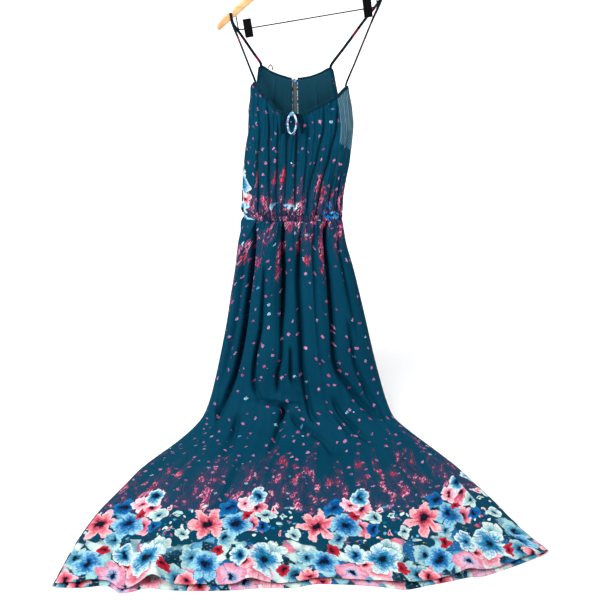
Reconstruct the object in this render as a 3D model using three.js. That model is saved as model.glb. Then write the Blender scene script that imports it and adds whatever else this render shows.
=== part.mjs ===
// A strappy maxi dress on a tilted wooden hanger, its long skirt spread over the floor in front.
// Millimetres, +X to the right as seen from the front, -Y to the front, +Z up.
// The origin is the point where the hanger's hook rests on a rail.
import * as THREE from 'three';

// Driving sizes
const WALL = 1.5;
const HEM_WALL = 2.2;
const SEAM_GAP = 0.3;
const FLOOR_Z = -1197;

const HANGER_TILT = THREE.MathUtils.degToRad(8.8);
const HOOK_RADIUS = 22;
const HOOK_WIRE = 3.6;
const WOOD_THICKNESS = 12;
const WOOD_HEIGHT = 19;
const ARM_SPAN = 206;
const ARM_NECK_Z = -72;
const ARM_TIP_Z = -180;
const NOTCH_X = 174;
const NOTCH_WIDTH = 11;
const NOTCH_DEPTH = 4;
const BAR_Z = -196;
const BAR_HALF = 163;
const BAR_WIRE = 3;
const BAR_BEND = 6;
const WIRE_SIDES = 8;
const NECK_RISE = 5;
const NECK_SPREAD = 16;
const CLIP_X = 140;
const CLIP_WIDTH = 19;
const CLIP_HEIGHT = 40;

const WAIST_TOP_Z = -650;
const WAIST_HEIGHT = 14;
const GATHERS_PER_HALF = 26;
const GATHER_HEIGHT = 1.6;

const NECK_BAND = 8;
const BACK_BAND = 5;
const ARM_BAND = 3.6;
const BAND_THICKNESS = 3.4;
const STRAP_WIDTH = 6.5;
const STRAP_THICKNESS = 1.6;
const STRAP_OVERLAP = 6;
const STRAP_INSET = 0.05;

const SLIT_WIDTH = 9;
const SLIT_END_Z = -472;
const SLIT_EASE = 14;
const SLIT_BAND = 2.6;

const HALF_ARC = 141;
const SLIT_ACROSS = -0.09;
const PLACKET_WALL = 1.2;
const PLACKET_REACH = 0.45;

const BODICE_PLEAT = 5;
const LINING_GAP = 0.9;
const LINING_EASE = 2.2;
const LINING_WALL = 1;

const TIE_X = -10;
const TIE_Z = -404.5;
const TIE_WIDTH = 7;
const TIE_THICKNESS = 1.2;

const COLOURS = {
  teal: 0x0f4a5c,
  lining: 0x1b4a60,
  binding: 0x0d3b4a,
  print: 0x8fb4cf,
  strap: 0x10222a,
  wood: 0xc98a4b,
  wire: 0x2b2b2d,
  clip: 0x111113,
};

// Half rings of the bodice, from the waist up: outline, half depth and how square the ring is.
const BODICE_SECTIONS = [
  { place: 'waist', z: -650, left: -133, right: 113, depth: 38, square: 2.4 },
  { place: 'blouse', z: -638, left: -136, right: 116, depth: 42, square: 2.4 },
  { place: 'midriff', z: -600, left: -135, right: 120, depth: 41, square: 2.5 },
  { place: 'rib', z: -560, left: -134, right: 126, depth: 39, square: 2.7 },
  { place: 'under bust', z: -520, left: -130, right: 133, depth: 37, square: 3 },
  { place: 'right underarm', z: -480, left: -124, right: 136, depth: 35, square: 3.3 },
  { place: 'left underarm', z: -440, left: -116, right: 138, depth: 34, square: 3.6 },
  { place: 'bust', z: -400, left: -113, right: 133, depth: 33, square: 3.8 },
  { place: 'front corners', z: -340, left: -107, right: 124, depth: 31, square: 4 },
  { place: 'back corners', z: -290, left: -104, right: 118, depth: 30, square: 4 },
];

// Upper edge of each half of the bodice: share of the half ring, -1 at the left seam, 1 at the right.
const FRONT_EDGE = [
  { place: 'left underarm', across: -1, z: -440 },
  { place: 'left armhole', across: -0.92, z: -396 },
  { place: 'left corner', across: -0.8, z: -343 },
  { place: 'left slope', across: -0.7, z: -358 },
  { place: 'left bust', across: -0.54, z: -380 },
  { place: 'left scoop', across: -0.38, z: -402 },
  { place: 'tie left', across: -0.22, z: -411 },
  { place: 'tie right', across: -0.02, z: -412 },
  { place: 'right scoop', across: 0.21, z: -399 },
  { place: 'right bust', across: 0.465, z: -382 },
  { place: 'right slope', across: 0.66, z: -368 },
  { place: 'right corner', across: 0.83, z: -352 },
  { place: 'right armhole', across: 0.93, z: -420 },
  { place: 'right underarm', across: 1, z: -490 },
];
const FRONT_CORNERS = { left: -0.8, right: 0.83 };

const BACK_EDGE = [
  { place: 'left underarm', across: -1, z: -440 },
  { place: 'left armhole low', across: -0.86, z: -404 },
  { place: 'left armhole high', across: -0.75, z: -345 },
  { place: 'left corner', across: -0.7, z: -301 },
  { place: 'left neck', across: -0.52, z: -314 },
  { place: 'left centre', across: -0.3, z: -324 },
  { place: 'centre', across: -0.09, z: -329 },
  { place: 'right centre', across: 0.15, z: -326 },
  { place: 'right neck', across: 0.38, z: -317 },
  { place: 'right corner', across: 0.57, z: -306 },
  { place: 'right armhole high', across: 0.64, z: -362 },
  { place: 'right armhole low', across: 0.78, z: -440 },
  { place: 'right underarm', across: 1, z: -490 },
];
const BACK_CORNERS = { left: -0.7, right: 0.57 };

// The front lining ends well inside the right armhole, so the thin outer cloth shows there alone.
const LINING_EDGE = [
  { place: 'left seam', across: -0.94, z: -455 },
  { place: 'left armhole', across: -0.86, z: -395 },
  { place: 'left corner', across: -0.76, z: -354 },
  { place: 'left bust', across: -0.54, z: -382 },
  { place: 'left scoop', across: -0.38, z: -404 },
  { place: 'centre', across: -0.12, z: -413.5 },
  { place: 'right scoop', across: 0.21, z: -401 },
  { place: 'right bust', across: 0.465, z: -384 },
  { place: 'right slope', across: 0.62, z: -374 },
  { place: 'right armhole', across: 0.76, z: -448 },
  { place: 'right seam', across: 0.94, z: -496 },
];

// Valleys between the bodice's soft pleats: share of the half ring at the neck and at the waist.
const BODICE_VALLEYS = [
  { place: 'left edge', neck: -0.9, waist: -0.84, width: 0.05 },
  { place: 'left outer', neck: -0.62, waist: -0.6, width: 0.05 },
  { place: 'left inner', neck: -0.45, waist: -0.38, width: 0.045 },
  { place: 'left centre', neck: -0.3, waist: -0.2, width: 0.04 },
  { place: 'under the tie left', neck: -0.17, waist: -0.09, width: 0.04 },
  { place: 'under the tie right', neck: -0.07, waist: 0.04, width: 0.05 },
  { place: 'right centre', neck: 0.14, waist: 0.18, width: 0.04 },
  { place: 'right inner', neck: 0.34, waist: 0.34, width: 0.045 },
  { place: 'right outer', neck: 0.6, waist: 0.52, width: 0.05 },
  { place: 'right edge', neck: 0.84, waist: 0.76, width: 0.05 },
];

// Rings of the skirt: centre of the tube, outline, half depth, squareness, and lean of the ring's plane
// from level where it hangs to upright where it lies. The right end of a ring lies back by swing.
const SKIRT_SECTIONS = [
  { place: 'waist', y: 0, z: -664.3, left: -133, right: 113, depth: 38, square: 2.4, lean: 0, swing: 0 },
  { place: 'gathers', y: -1, z: -690, left: -142, right: 119, depth: 46, square: 2.4, lean: 0, swing: 0 },
  { place: 'high hip', y: -4, z: -730, left: -152, right: 129, depth: 52, square: 2.4, lean: 0, swing: 0 },
  { place: 'hip', y: -11, z: -795, left: -161, right: 149, depth: 56, square: 2.3, lean: 0, swing: 0 },
  { place: 'thigh', y: -24, z: -868, left: -174, right: 168, depth: 59, square: 2.3, lean: 2, swing: 0 },
  { place: 'knee', y: -41, z: -940, left: -186, right: 186, depth: 61, square: 2.3, lean: 5, swing: 0 },
  { place: 'calf', y: -62, z: -1012, left: -201, right: 203, depth: 60, square: 2.4, lean: 10, swing: 0 },
  { place: 'shin', y: -84, z: -1078, left: -216, right: 221, depth: 56, square: 2.5, lean: 20, swing: 0 },
  { place: 'ankle', y: -112, z: -1127, left: -229, right: 236, depth: 46, square: 2.6, lean: 36, swing: 0 },
  { place: 'bend', y: -150, z: -1160, left: -245, right: 253, depth: 33, square: 2.7, lean: 56, swing: 0 },
  { place: 'touch', y: -200, z: -1181, left: -280, right: 298, depth: 17.4, square: 2.8, lean: 75, swing: 0 },
  { place: 'train', y: -256, z: -1190, left: -322, right: 340, depth: 8, square: 3, lean: 90, swing: 4 },
  { place: 'first fan', y: -330, z: -1192, left: -366, right: 374, depth: 6, square: 3, lean: 90, swing: 20 },
  { place: 'mid fan', y: -415, z: -1192, left: -396, right: 403, depth: 6, square: 3, lean: 90, swing: 38 },
  { place: 'wide fan', y: -500, z: -1192, left: -424, right: 430, depth: 6, square: 3, lean: 90, swing: 55 },
  { place: 'low fan', y: -580, z: -1192, left: -438, right: 453, depth: 6, square: 3, lean: 90, swing: 70 },
  { place: 'above hem', y: -640, z: -1192, left: -443, right: 472, depth: 6, square: 3, lean: 90, swing: 82 },
  { place: 'hem turn', y: -684, z: -1192, left: -445, right: 493, depth: 6, square: 3, lean: 90, swing: 90 },
  { place: 'hem', y: -694, z: -1192, left: -446, right: 498, depth: 6, square: 3, lean: 90, swing: 92 },
];

// Deep folds of the skirt's front: share of the half width at five places down the skirt.
const FOLD_PLACES = ['waist', 'hip', 'knee', 'ankle', 'train'];
const FRONT_FOLDS = [
  { place: 'far left', waist: -0.76, hip: -0.72, knee: -0.78, ankle: -0.82, train: -0.84, width: 0.07, depth: 13 },
  { place: 'left', waist: -0.5, hip: -0.5, knee: -0.53, ankle: -0.46, train: -0.4, width: 0.06, depth: 9 },
  { place: 'mid left', waist: -0.2, hip: -0.19, knee: -0.21, ankle: -0.22, train: -0.2, width: 0.06, depth: 15 },
  { place: 'centre', waist: 0.2, hip: 0.1, knee: 0.07, ankle: 0.14, train: 0.26, width: 0.07, depth: 13 },
  { place: 'mid right', waist: 0.44, hip: 0.32, knee: 0.28, ankle: 0.36, train: 0.44, width: 0.06, depth: 6 },
  { place: 'right', waist: 0.71, hip: 0.56, knee: 0.5, ankle: 0.62, train: 0.8, width: 0.07, depth: 13 },
  { place: 'far right', waist: 0.9, hip: 0.82, knee: 0.76, ankle: 0.83, train: 0.9, width: 0.05, depth: 8 },
];
const BACK_FOLDS = [
  { place: 'left', waist: -0.7, hip: -0.66, knee: -0.68, ankle: -0.7, train: -0.72, width: 0.08, depth: 12 },
  { place: 'inner left', waist: -0.34, hip: -0.36, knee: -0.34, ankle: -0.36, train: -0.4, width: 0.07, depth: 14 },
  { place: 'centre', waist: 0.02, hip: 0.04, knee: 0, ankle: -0.02, train: -0.04, width: 0.08, depth: 11 },
  { place: 'right inner', waist: 0.38, hip: 0.36, knee: 0.4, ankle: 0.42, train: 0.44, width: 0.07, depth: 14 },
  { place: 'right', waist: 0.7, hip: 0.7, knee: 0.66, ankle: 0.7, train: 0.72, width: 0.08, depth: 12 },
];
// How strongly the folds and the waist gathers show at each of those places.
const FOLD_STRENGTH = { waist: 0.1, hip: 0.75, knee: 1, ankle: 0.6, train: 0.12 };
const GATHER_STRENGTH = { waist: 1, hip: 0.35, knee: 0, ankle: 0, train: 0 };
const SKIRT_GATHER = 3;
const SKIRT_GATHERS = 13;

// Low humps of the front where it turns onto the floor, and waves that lift the front's hem.
const CRUMPLES = [
  { place: 'left tuck', x: -38, y: -172, alongX: 52, alongY: 14, height: 9 },
  { place: 'centre tuck', x: 12, y: -206, alongX: 46, alongY: 12, height: 7 },
  { place: 'right tuck', x: 78, y: -232, alongX: 60, alongY: 16, height: 7 },
  { place: 'left roll', x: -150, y: -224, alongX: 40, alongY: 30, height: 5 },
];
const HEM_WAVES = [
  { place: 'left corner wave', x: -376, width: 30, reach: 150, height: 9 },
  { place: 'left opening', x: -254, width: 27, reach: 210, height: 19 },
  { place: 'left middle', x: -165, width: 26, reach: 120, height: 5 },
  { place: 'middle opening', x: -84, width: 30, reach: 170, height: 13 },
  { place: 'middle', x: 60, width: 38, reach: 130, height: 5 },
  { place: 'right middle', x: 190, width: 42, reach: 170, height: 7 },
  { place: 'right', x: 330, width: 36, reach: 150, height: 8 },
  { place: 'right corner wave', x: 440, width: 26, reach: 120, height: 7 },
];
const BACK_HEM_EXTRA = 6;

const SKIRT_FRONT_COLUMNS = 48;
const SKIRT_BACK_COLUMNS = 36;
const SKIRT_EDGE_ZONE = 16;
const SKIRT_EDGE_COLUMNS = 3;
const NECK_COLUMNS = 32;
const BACK_NECK_COLUMNS = 9;
const BODICE_ROWS = [0, 0.03, 0.1, 0.24, 0.42, 0.6, 0.76, 0.9, 1];
const SLIT_ROWS = [0, 0.04, 0.14, 0.3, 0.45, 0.53, 0.57, 0.61, 0.72, 0.86, 1];
const SLIT_FIRST_ROW = 7;
const LINING_ROWS = [0, 0.1, 0.35, 0.65, 0.9, 1];

const X_AXIS = new THREE.Vector3(1, 0, 0);
const UP = new THREE.Vector3(0, 0, 1);

function bell(distance) {
  return Math.exp(-distance * distance);
}

function blend(a, b, t) {
  return a + (b - a) * t;
}

function smooth(low, high, value) {
  const t = THREE.MathUtils.clamp((value - low) / (high - low), 0, 1);
  return t * t * (3 - 2 * t);
}

// Reads one column of a table at a value of its key column, along a smooth curve through the rows.
function readTable(rows, key, value, column) {
  const rising = rows[rows.length - 1][key] > rows[0][key];
  const order = rising ? 1 : -1;
  let i = 0;
  while (i < rows.length - 2 && order * value > order * rows[i + 1][key]) {
    i += 1;
  }
  const before = rows[Math.max(i - 1, 0)];
  const start = rows[i];
  const end = rows[i + 1];
  const after = rows[Math.min(i + 2, rows.length - 1)];
  const span = end[key] - start[key];
  const t = THREE.MathUtils.clamp((value - start[key]) / span, 0, 1);
  const slope = (end[column] - start[column]) / span;
  const steepness = (a, b) => (b[column] - a[column]) / (b[key] - a[key]);
  const slopeBefore = start === before ? slope : steepness(before, start);
  const slopeAfter = end === after ? slope : steepness(end, after);
  const limited = (a, b) => (a * b <= 0 ? 0 : (2 * a * b) / (a + b));
  const startSlope = limited(slopeBefore, slope) * span;
  const endSlope = limited(slope, slopeAfter) * span;
  const t2 = t * t;
  const t3 = t2 * t;
  return (2 * t3 - 3 * t2 + 1) * start[column] + (t3 - 2 * t2 + t) * startSlope
    + (3 * t2 - 2 * t3) * end[column] + (t3 - t2) * endSlope;
}

// A ring in its own plane: x across, n to the front. Its quarter arcs are walked by length, so that
// across runs evenly over a half ring, from -1 at the left seam to 1 at the right seam.
const ARC_STEPS = 96;
const ringCache = new Map();

function quarterArc(halfWidth, depth, square) {
  const key = [halfWidth, depth, square].map((value) => value.toFixed(3)).join(' ');
  if (!ringCache.has(key)) {
    const points = [];
    let length = 0;
    for (let i = 0; i <= ARC_STEPS; i += 1) {
      const angle = (i / ARC_STEPS) * Math.PI / 2;
      const x = halfWidth * Math.sin(angle) ** (2 / square);
      const n = depth * Math.cos(angle) ** (2 / square);
      if (i > 0) {
        length += Math.hypot(x - points[i - 1].x, n - points[i - 1].n);
      }
      points.push({ x, n, length });
    }
    ringCache.set(key, points);
  }
  return ringCache.get(key);
}

// half is 1 for the front half of the ring and -1 for the back half.
function ringPoint(ring, half, across) {
  const halfWidth = (ring.right - ring.left) / 2;
  const centre = (ring.right + ring.left) / 2;
  const arc = quarterArc(halfWidth, ring.depth, ring.square);
  const total = arc[ARC_STEPS].length;
  const wanted = Math.min(Math.abs(across), 1) * total;
  let i = 1;
  while (i < ARC_STEPS && arc[i].length < wanted) {
    i += 1;
  }
  const t = (wanted - arc[i - 1].length) / (arc[i].length - arc[i - 1].length);
  const x = blend(arc[i - 1].x, arc[i].x, t);
  const n = Math.max(blend(arc[i - 1].n, arc[i].n, t), 0);
  const slopeX = (Math.max(x, 1e-6) / halfWidth) ** (ring.square - 1) / halfWidth;
  const slopeN = (Math.max(n, 1e-6) / ring.depth) ** (ring.square - 1) / ring.depth;
  const size = Math.hypot(slopeX, slopeN);
  const sideways = across < 0 ? -1 : 1;
  return {
    x: centre + sideways * x,
    n: half * Math.max(n, SEAM_GAP / 2),
    outX: (sideways * slopeX) / size,
    outN: (half * slopeN) / size,
    halfLength: total,
    share: (sideways * x) / halfWidth,
  };
}

// Grids of points become closed walls: the outer grid, the inner grid behind it, and the four edges.
function wallGeometry(outer, inner) {
  const rows = outer.length;
  const columns = outer[0].length;
  const positions = [];
  outer.flat().forEach((point) => positions.push(point.x, point.y, point.z));
  inner.flat().forEach((point) => positions.push(point.x, point.y, point.z));
  const at = (layer, row, column) => layer * rows * columns + row * columns + column;
  const faces = [];
  const quad = (a, b, c, d) => faces.push(a, b, c, a, c, d);
  for (let r = 0; r < rows - 1; r += 1) {
    for (let c = 0; c < columns - 1; c += 1) {
      quad(at(0, r, c), at(0, r, c + 1), at(0, r + 1, c + 1), at(0, r + 1, c));
      quad(at(1, r, c), at(1, r + 1, c), at(1, r + 1, c + 1), at(1, r, c + 1));
    }
  }
  for (let c = 0; c < columns - 1; c += 1) {
    quad(at(0, 0, c + 1), at(0, 0, c), at(1, 0, c), at(1, 0, c + 1));
    quad(at(0, rows - 1, c), at(0, rows - 1, c + 1), at(1, rows - 1, c + 1), at(1, rows - 1, c));
  }
  for (let r = 0; r < rows - 1; r += 1) {
    quad(at(0, r, 0), at(0, r + 1, 0), at(1, r + 1, 0), at(1, r, 0));
    quad(at(0, r + 1, columns - 1), at(0, r, columns - 1), at(1, r, columns - 1), at(1, r + 1, columns - 1));
  }
  return meshGeometry(positions, faces);
}

function meshGeometry(positions, faces) {
  const geometry = new THREE.BufferGeometry();
  geometry.setAttribute('position', new THREE.Float32BufferAttribute(positions, 3));
  geometry.setIndex(faces);
  geometry.computeVertexNormals();
  const normals = geometry.getAttribute('normal');
  let volume = 0;
  const a = new THREE.Vector3();
  const b = new THREE.Vector3();
  const c = new THREE.Vector3();
  for (let i = 0; i < faces.length; i += 3) {
    a.fromArray(positions, faces[i] * 3);
    b.fromArray(positions, faces[i + 1] * 3);
    c.fromArray(positions, faces[i + 2] * 3);
    volume += a.dot(b.cross(c));
  }
  if (volume < 0) {
    for (let i = 0; i < faces.length; i += 3) {
      [faces[i], faces[i + 1]] = [faces[i + 1], faces[i]];
    }
    geometry.setIndex(faces);
    normals.array.forEach((value, index) => {
      normals.array[index] = -value;
    });
  }
  return geometry;
}

// Outward normals of a grid whose rows and columns are points on the outside of the cloth.
function gridNormals(grid, outward) {
  return grid.map((row, r) => row.map((point, c) => {
    const left = row[Math.max(c - 1, 0)];
    const right = row[Math.min(c + 1, row.length - 1)];
    const below = grid[Math.max(r - 1, 0)][c];
    const above = grid[Math.min(r + 1, grid.length - 1)][c];
    const across = new THREE.Vector3().subVectors(right, left);
    const along = new THREE.Vector3().subVectors(above, below);
    const normal = new THREE.Vector3().crossVectors(across, along).normalize();
    if (normal.dot(outward(r, c)) < 0) {
      normal.negate();
    }
    return normal;
  }));
}

function clothWall(grid, outward, thickness) {
  const normals = gridNormals(grid, outward);
  const last = grid[0].length - 1;
  const inner = grid.map((row, r) => row.map((point, c) => {
    const normal = c === 0 || c === last ? outward(r, c) : normals[r][c];
    return point.clone().addScaledVector(normal, -thickness(r));
  }));
  return wallGeometry(grid, inner);
}

// A bar lofted through loops of points, with its two ends closed by fans.
function loftGeometry(loops) {
  const count = loops[0].length;
  const positions = [];
  loops.flat().forEach((point) => positions.push(point.x, point.y, point.z));
  const faces = [];
  for (let r = 0; r < loops.length - 1; r += 1) {
    for (let i = 0; i < count; i += 1) {
      const next = (i + 1) % count;
      const a = r * count + i;
      const b = r * count + next;
      faces.push(a, b, b + count, a, b + count, a + count);
    }
  }
  const end = (loops.length - 1) * count;
  for (let i = 1; i < count - 1; i += 1) {
    faces.push(0, i + 1, i);
    faces.push(end, end + i, end + i + 1);
  }
  return meshGeometry(positions, faces);
}

// A flat band with softened edges, along a path, from its side and face directions at each point.
const BAND_PROFILE = [
  { across: -0.5, out: 0 }, { across: -0.36, out: 0.5 }, { across: 0.36, out: 0.5 },
  { across: 0.5, out: 0 }, { across: 0.36, out: -0.5 }, { across: -0.36, out: -0.5 },
];

function bandLoops(points, sides, faces, width, thickness) {
  return points.map((point, i) => BAND_PROFILE.map((corner) => point.clone()
    .addScaledVector(sides[i], corner.across * width)
    .addScaledVector(faces[i], corner.out * thickness)));
}

function tangents(points) {
  return points.map((point, i) => {
    const before = points[Math.max(i - 1, 0)];
    const after = points[Math.min(i + 1, points.length - 1)];
    return new THREE.Vector3().subVectors(after, before).normalize();
  });
}

// A folded band sewn along an edge of a panel: it continues the cloth away from the panel.
function edgeBand(points, normals, away, height) {
  const directions = tangents(points);
  const sides = points.map((point, i) => {
    const side = new THREE.Vector3().crossVectors(normals[i], directions[i]).normalize();
    return side.dot(away(i)) < 0 ? side.negate() : side;
  });
  const centres = points.map((point, i) => point.clone()
    .addScaledVector(sides[i], height / 2 + SEAM_GAP)
    .addScaledVector(normals[i], -WALL / 2));
  return loftGeometry(bandLoops(centres, sides, normals, height, BAND_THICKNESS));
}

// A ribbon along a smooth curve, flat face turned by the angle that each row of its table gives.
function ribbon(rows, steps, width, thickness) {
  const curve = new THREE.CatmullRomCurve3(rows.map((row) => new THREE.Vector3(row.x, row.y, row.z)));
  const points = [];
  const sides = [];
  const faces = [];
  for (let i = 0; i <= steps; i += 1) {
    const t = i / steps;
    const place = t * (rows.length - 1);
    const row = Math.min(Math.floor(place), rows.length - 2);
    const turn = THREE.MathUtils.degToRad(blend(rows[row].turn, rows[row + 1].turn, place - row));
    const tangent = curve.getTangent(t);
    const wanted = new THREE.Vector3(Math.cos(turn), Math.sin(turn), Math.cos(turn) * Math.tan(HANGER_TILT));
    const side = wanted.addScaledVector(tangent, -wanted.dot(tangent)).normalize();
    points.push(curve.getPoint(t));
    sides.push(side);
    faces.push(new THREE.Vector3().crossVectors(tangent, side).normalize());
  }
  return loftGeometry(bandLoops(points, sides, faces, width, thickness));
}

function material(colour, roughness, metalness = 0) {
  return new THREE.MeshStandardMaterial({ color: colour, roughness, metalness });
}

const group = new THREE.Group();

function addPiece(name, geometry, surface) {
  const mesh = new THREE.Mesh(geometry, surface);
  mesh.name = name;
  group.add(mesh);
  return mesh;
}

const cloth = material(COLOURS.teal, 0.75);
const liningCloth = material(COLOURS.lining, 0.8);
const bindingCloth = material(COLOURS.binding, 0.75);
const printCloth = material(COLOURS.print, 0.75);
const strapCloth = material(COLOURS.strap, 0.75);
const wire = material(COLOURS.wire, 0.35, 0.9);

// Bodice
function bodiceRing(z) {
  const ring = { z };
  ['left', 'right', 'depth', 'square'].forEach((column) => {
    ring[column] = readTable(BODICE_SECTIONS, 'z', z, column);
  });
  return ring;
}

function pleatHeight(across, share) {
  let valley = 0;
  BODICE_VALLEYS.forEach((row) => {
    const centre = blend(row.waist, row.neck, share);
    valley = Math.max(valley, bell((across - centre) / row.width));
  });
  const nearEdges = 1 - smooth(0.86, 0.98, Math.abs(across));
  const nearWaist = blend(0.55, 1, smooth(0, 0.1, share));
  const nearNeck = 1 - smooth(0.72, 0.98, share);
  return BODICE_PLEAT * (1 - valley) * nearEdges * nearWaist * nearNeck;
}

// A point of a bodice panel: half is 1 for the front and -1 for the back, across runs left to right.
function bodicePoint(half, across, share, topZ, inset, pleats) {
  const z = blend(WAIST_TOP_Z + SEAM_GAP, topZ, share);
  const ring = bodiceRing(z);
  const place = ringPoint(ring, half, across);
  const out = (pleats ? pleatHeight(across, share) : 0) - inset;
  const point = new THREE.Vector3(place.x + place.outX * out, -(place.n + place.outN * out), z);
  const outward = new THREE.Vector3(place.outX, -place.outN, 0);
  return { point, outward };
}

function bodiceGrid(half, columns, rows, edge, inset, pleats) {
  const cells = rows.map((share) => columns.map((column) => {
    const across = column.across + column.shift(share);
    return bodicePoint(half, across, share, edge(column.across), inset(share), pleats);
  }));
  return {
    grid: cells.map((row) => row.map((cell) => cell.point)),
    outward: (r, c) => cells[r][c].outward,
    top: (c) => cells[rows.length - 1][c],
    column: (c, from) => cells.slice(from).map((row) => row[c]),
  };
}

function evenly(from, to, count) {
  const values = [];
  for (let i = 0; i <= count; i += 1) {
    values.push(blend(from, to, i / count));
  }
  return values;
}

const noInset = () => 0;
const noShift = () => 0;
const frontEdge = (across) => readTable(FRONT_EDGE, 'across', across, 'z');
const backEdge = (across) => readTable(BACK_EDGE, 'across', across, 'z');

const ARMHOLE_COLUMNS = 5;

function makeBodiceFront() {
  const places = [
    ...evenly(-1, FRONT_CORNERS.left, ARMHOLE_COLUMNS).slice(0, -1),
    ...evenly(FRONT_CORNERS.left, FRONT_CORNERS.right, NECK_COLUMNS).slice(0, -1),
    ...evenly(FRONT_CORNERS.right, 1, ARMHOLE_COLUMNS),
  ];
  const columns = places.map((across) => ({ across, shift: noShift }));
  return bodiceGrid(1, columns, BODICE_ROWS, frontEdge, noInset, true);
}

// How far an edge of the slit stands from the centre seam, as a share of the half ring.
function slitShift(side, share) {
  const z = blend(WAIST_TOP_Z + SEAM_GAP, backEdge(SLIT_ACROSS), share);
  const open = smooth(SLIT_END_Z, SLIT_END_Z + SLIT_EASE, z);
  return (side * (SEAM_GAP / 2 + open * (SLIT_WIDTH / 2 + SLIT_BAND + SEAM_GAP))) / HALF_ARC;
}

function makeBackGrid(side, corner, outer, edge, inset, pleats) {
  const toCorner = evenly(SLIT_ACROSS, corner, BACK_NECK_COLUMNS);
  const toSeam = evenly(corner, outer, ARMHOLE_COLUMNS).slice(1);
  const columns = [...toCorner, ...toSeam].map((across, i) => ({
    across,
    shift: (share) => slitShift(side, share) * Math.max(0, 1 - i / 3),
  }));
  return bodiceGrid(-1, columns, SLIT_ROWS, edge, inset, pleats);
}

// The linings lie close inside the outer cloth at the neck and hang a little freer below.
const liningInset = (share) => WALL + LINING_GAP + LINING_EASE * (1 - smooth(0.86, 1, share));

function addBackLining(name, side, corner) {
  const edge = (across) => backEdge(across * 1.05) - LINING_GAP - smooth(0.3, 0.9, Math.abs(across)) * 6;
  const panel = makeBackGrid(side, corner * 0.92, side * 0.93, edge, liningInset, false);
  addPiece(name, clothWall(panel.grid, panel.outward, () => LINING_WALL), liningCloth);
}

function addFrontLining() {
  const [left, right] = [LINING_EDGE[0].across, LINING_EDGE[LINING_EDGE.length - 1].across];
  const places = [...evenly(left, -0.76, 3).slice(0, -1), ...evenly(-0.76, 0.62, 17).slice(0, -1),
    ...evenly(0.62, right, 4)];
  const columns = places.map((across) => ({ across, shift: noShift }));
  const edge = (across) => readTable(LINING_EDGE, 'across', across, 'z');
  const panel = bodiceGrid(1, columns, LINING_ROWS, edge, liningInset, false);
  addPiece('lining_front', clothWall(panel.grid, panel.outward, () => LINING_WALL), liningCloth);
}

// Bands along the edges, through the panels' own edge points
function bandAlong(name, cells, away, height, surface) {
  const points = cells.map((cell) => cell.point);
  const normals = cells.map((cell) => cell.outward);
  addPiece(name, edgeBand(points, normals, away, height), surface);
}

function counted(from, to) {
  const step = to >= from ? 1 : -1;
  return Array.from({ length: Math.abs(to - from) + 1 }, (unused, i) => from + i * step);
}

function addNeckBands(front, backs) {
  const above = () => UP;
  const frontCells = counted(ARMHOLE_COLUMNS, ARMHOLE_COLUMNS + NECK_COLUMNS).map(front.top);
  bandAlong('binding_neck_front', frontCells, above, NECK_BAND, bindingCloth);
  Object.entries(backs).forEach(([name, panel]) => {
    const cells = counted(0, BACK_NECK_COLUMNS).map(panel.top);
    bandAlong(`binding_neck_back_${name}`, cells, above, BACK_BAND, bindingCloth);
  });
}

function addArmBand(name, side, front, back) {
  const last = ARMHOLE_COLUMNS * 2 + NECK_COLUMNS;
  const frontColumns = side < 0 ? counted(ARMHOLE_COLUMNS, 0) : counted(last - ARMHOLE_COLUMNS, last);
  const backColumns = counted(BACK_NECK_COLUMNS + ARMHOLE_COLUMNS - 1, BACK_NECK_COLUMNS);
  const down = frontColumns.map(front.top);
  const seam = down.length - 1;
  const bottom = down[seam].point.clone();
  bottom.y = 0;
  bottom.z += ARM_BAND;
  down[seam] = { point: bottom, outward: new THREE.Vector3(side, 0, 0) };
  const cells = [...down, ...backColumns.map(back.top)];
  const away = (i) => (Math.abs(i - seam) < 2 ? UP : new THREE.Vector3(side, 0, 0.4));
  bandAlong(`binding_arm_${name}`, cells, away, ARM_BAND, bindingCloth);
}

// Slit at the centre back: bound edges, a strip laid over it outside, and a button that closes the top.
function addSlit(backs) {
  const sides = { left: -1, right: 1 };
  Object.entries(backs).forEach(([name, panel]) => {
    const away = () => new THREE.Vector3(-sides[name], 0, 0);
    bandAlong(`binding_slit_${name}`, panel.column(0, SLIT_FIRST_ROW), away, SLIT_BAND, printCloth);
  });
  const lift = (BAND_THICKNESS - WALL) / 2 + SEAM_GAP * 2 + PLACKET_WALL;
  const strip = [];
  [[backs.left, PLACKET_REACH], [backs.left, 0], [backs.right, 0], [backs.right, PLACKET_REACH]]
    .forEach(([panel, share]) => {
      const near = panel.column(0, SLIT_FIRST_ROW - 2);
      const far = panel.column(1, SLIT_FIRST_ROW - 2);
      strip.push(near.map((cell, r) => {
        const point = cell.point.clone().lerp(far[r].point, share);
        return { point: point.addScaledVector(cell.outward, lift), outward: cell.outward };
      }));
    });
  const grid = strip[0].map((unused, r) => strip.map((cells) => cells[r].point));
  const outward = (r, c) => strip[c][r].outward;
  addPiece('slit_placket', clothWall(grid, outward, () => PLACKET_WALL), bindingCloth);
}

const BUTTON = { radius: 4, backRadius: 3.2, thickness: 3, sides: 16 };

function addButton() {
  const top = bodicePoint(-1, SLIT_ACROSS, 1, backEdge(SLIT_ACROSS), 0, false);
  const shape = new THREE.CylinderGeometry(BUTTON.radius, BUTTON.backRadius, BUTTON.thickness, BUTTON.sides);
  const button = addPiece('back_button', shape, printCloth);
  const inward = -(WALL / 2 + BAND_THICKNESS / 2 + BUTTON.thickness / 2 + SEAM_GAP);
  button.position.copy(top.point).addScaledVector(top.outward, inward);
  button.position.z -= BUTTON.radius / 2;
}

const LOOP_ROWS = [
  { x: -4, y: 0, z: 2.2, turn: 90 },
  { x: -5, y: 0, z: 6, turn: 90 },
  { x: -1, y: 0, z: 11, turn: 90 },
  { x: 4, y: 0, z: 5, turn: 90 },
  { x: 4, y: 0, z: -1.4, turn: 90 },
];

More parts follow.
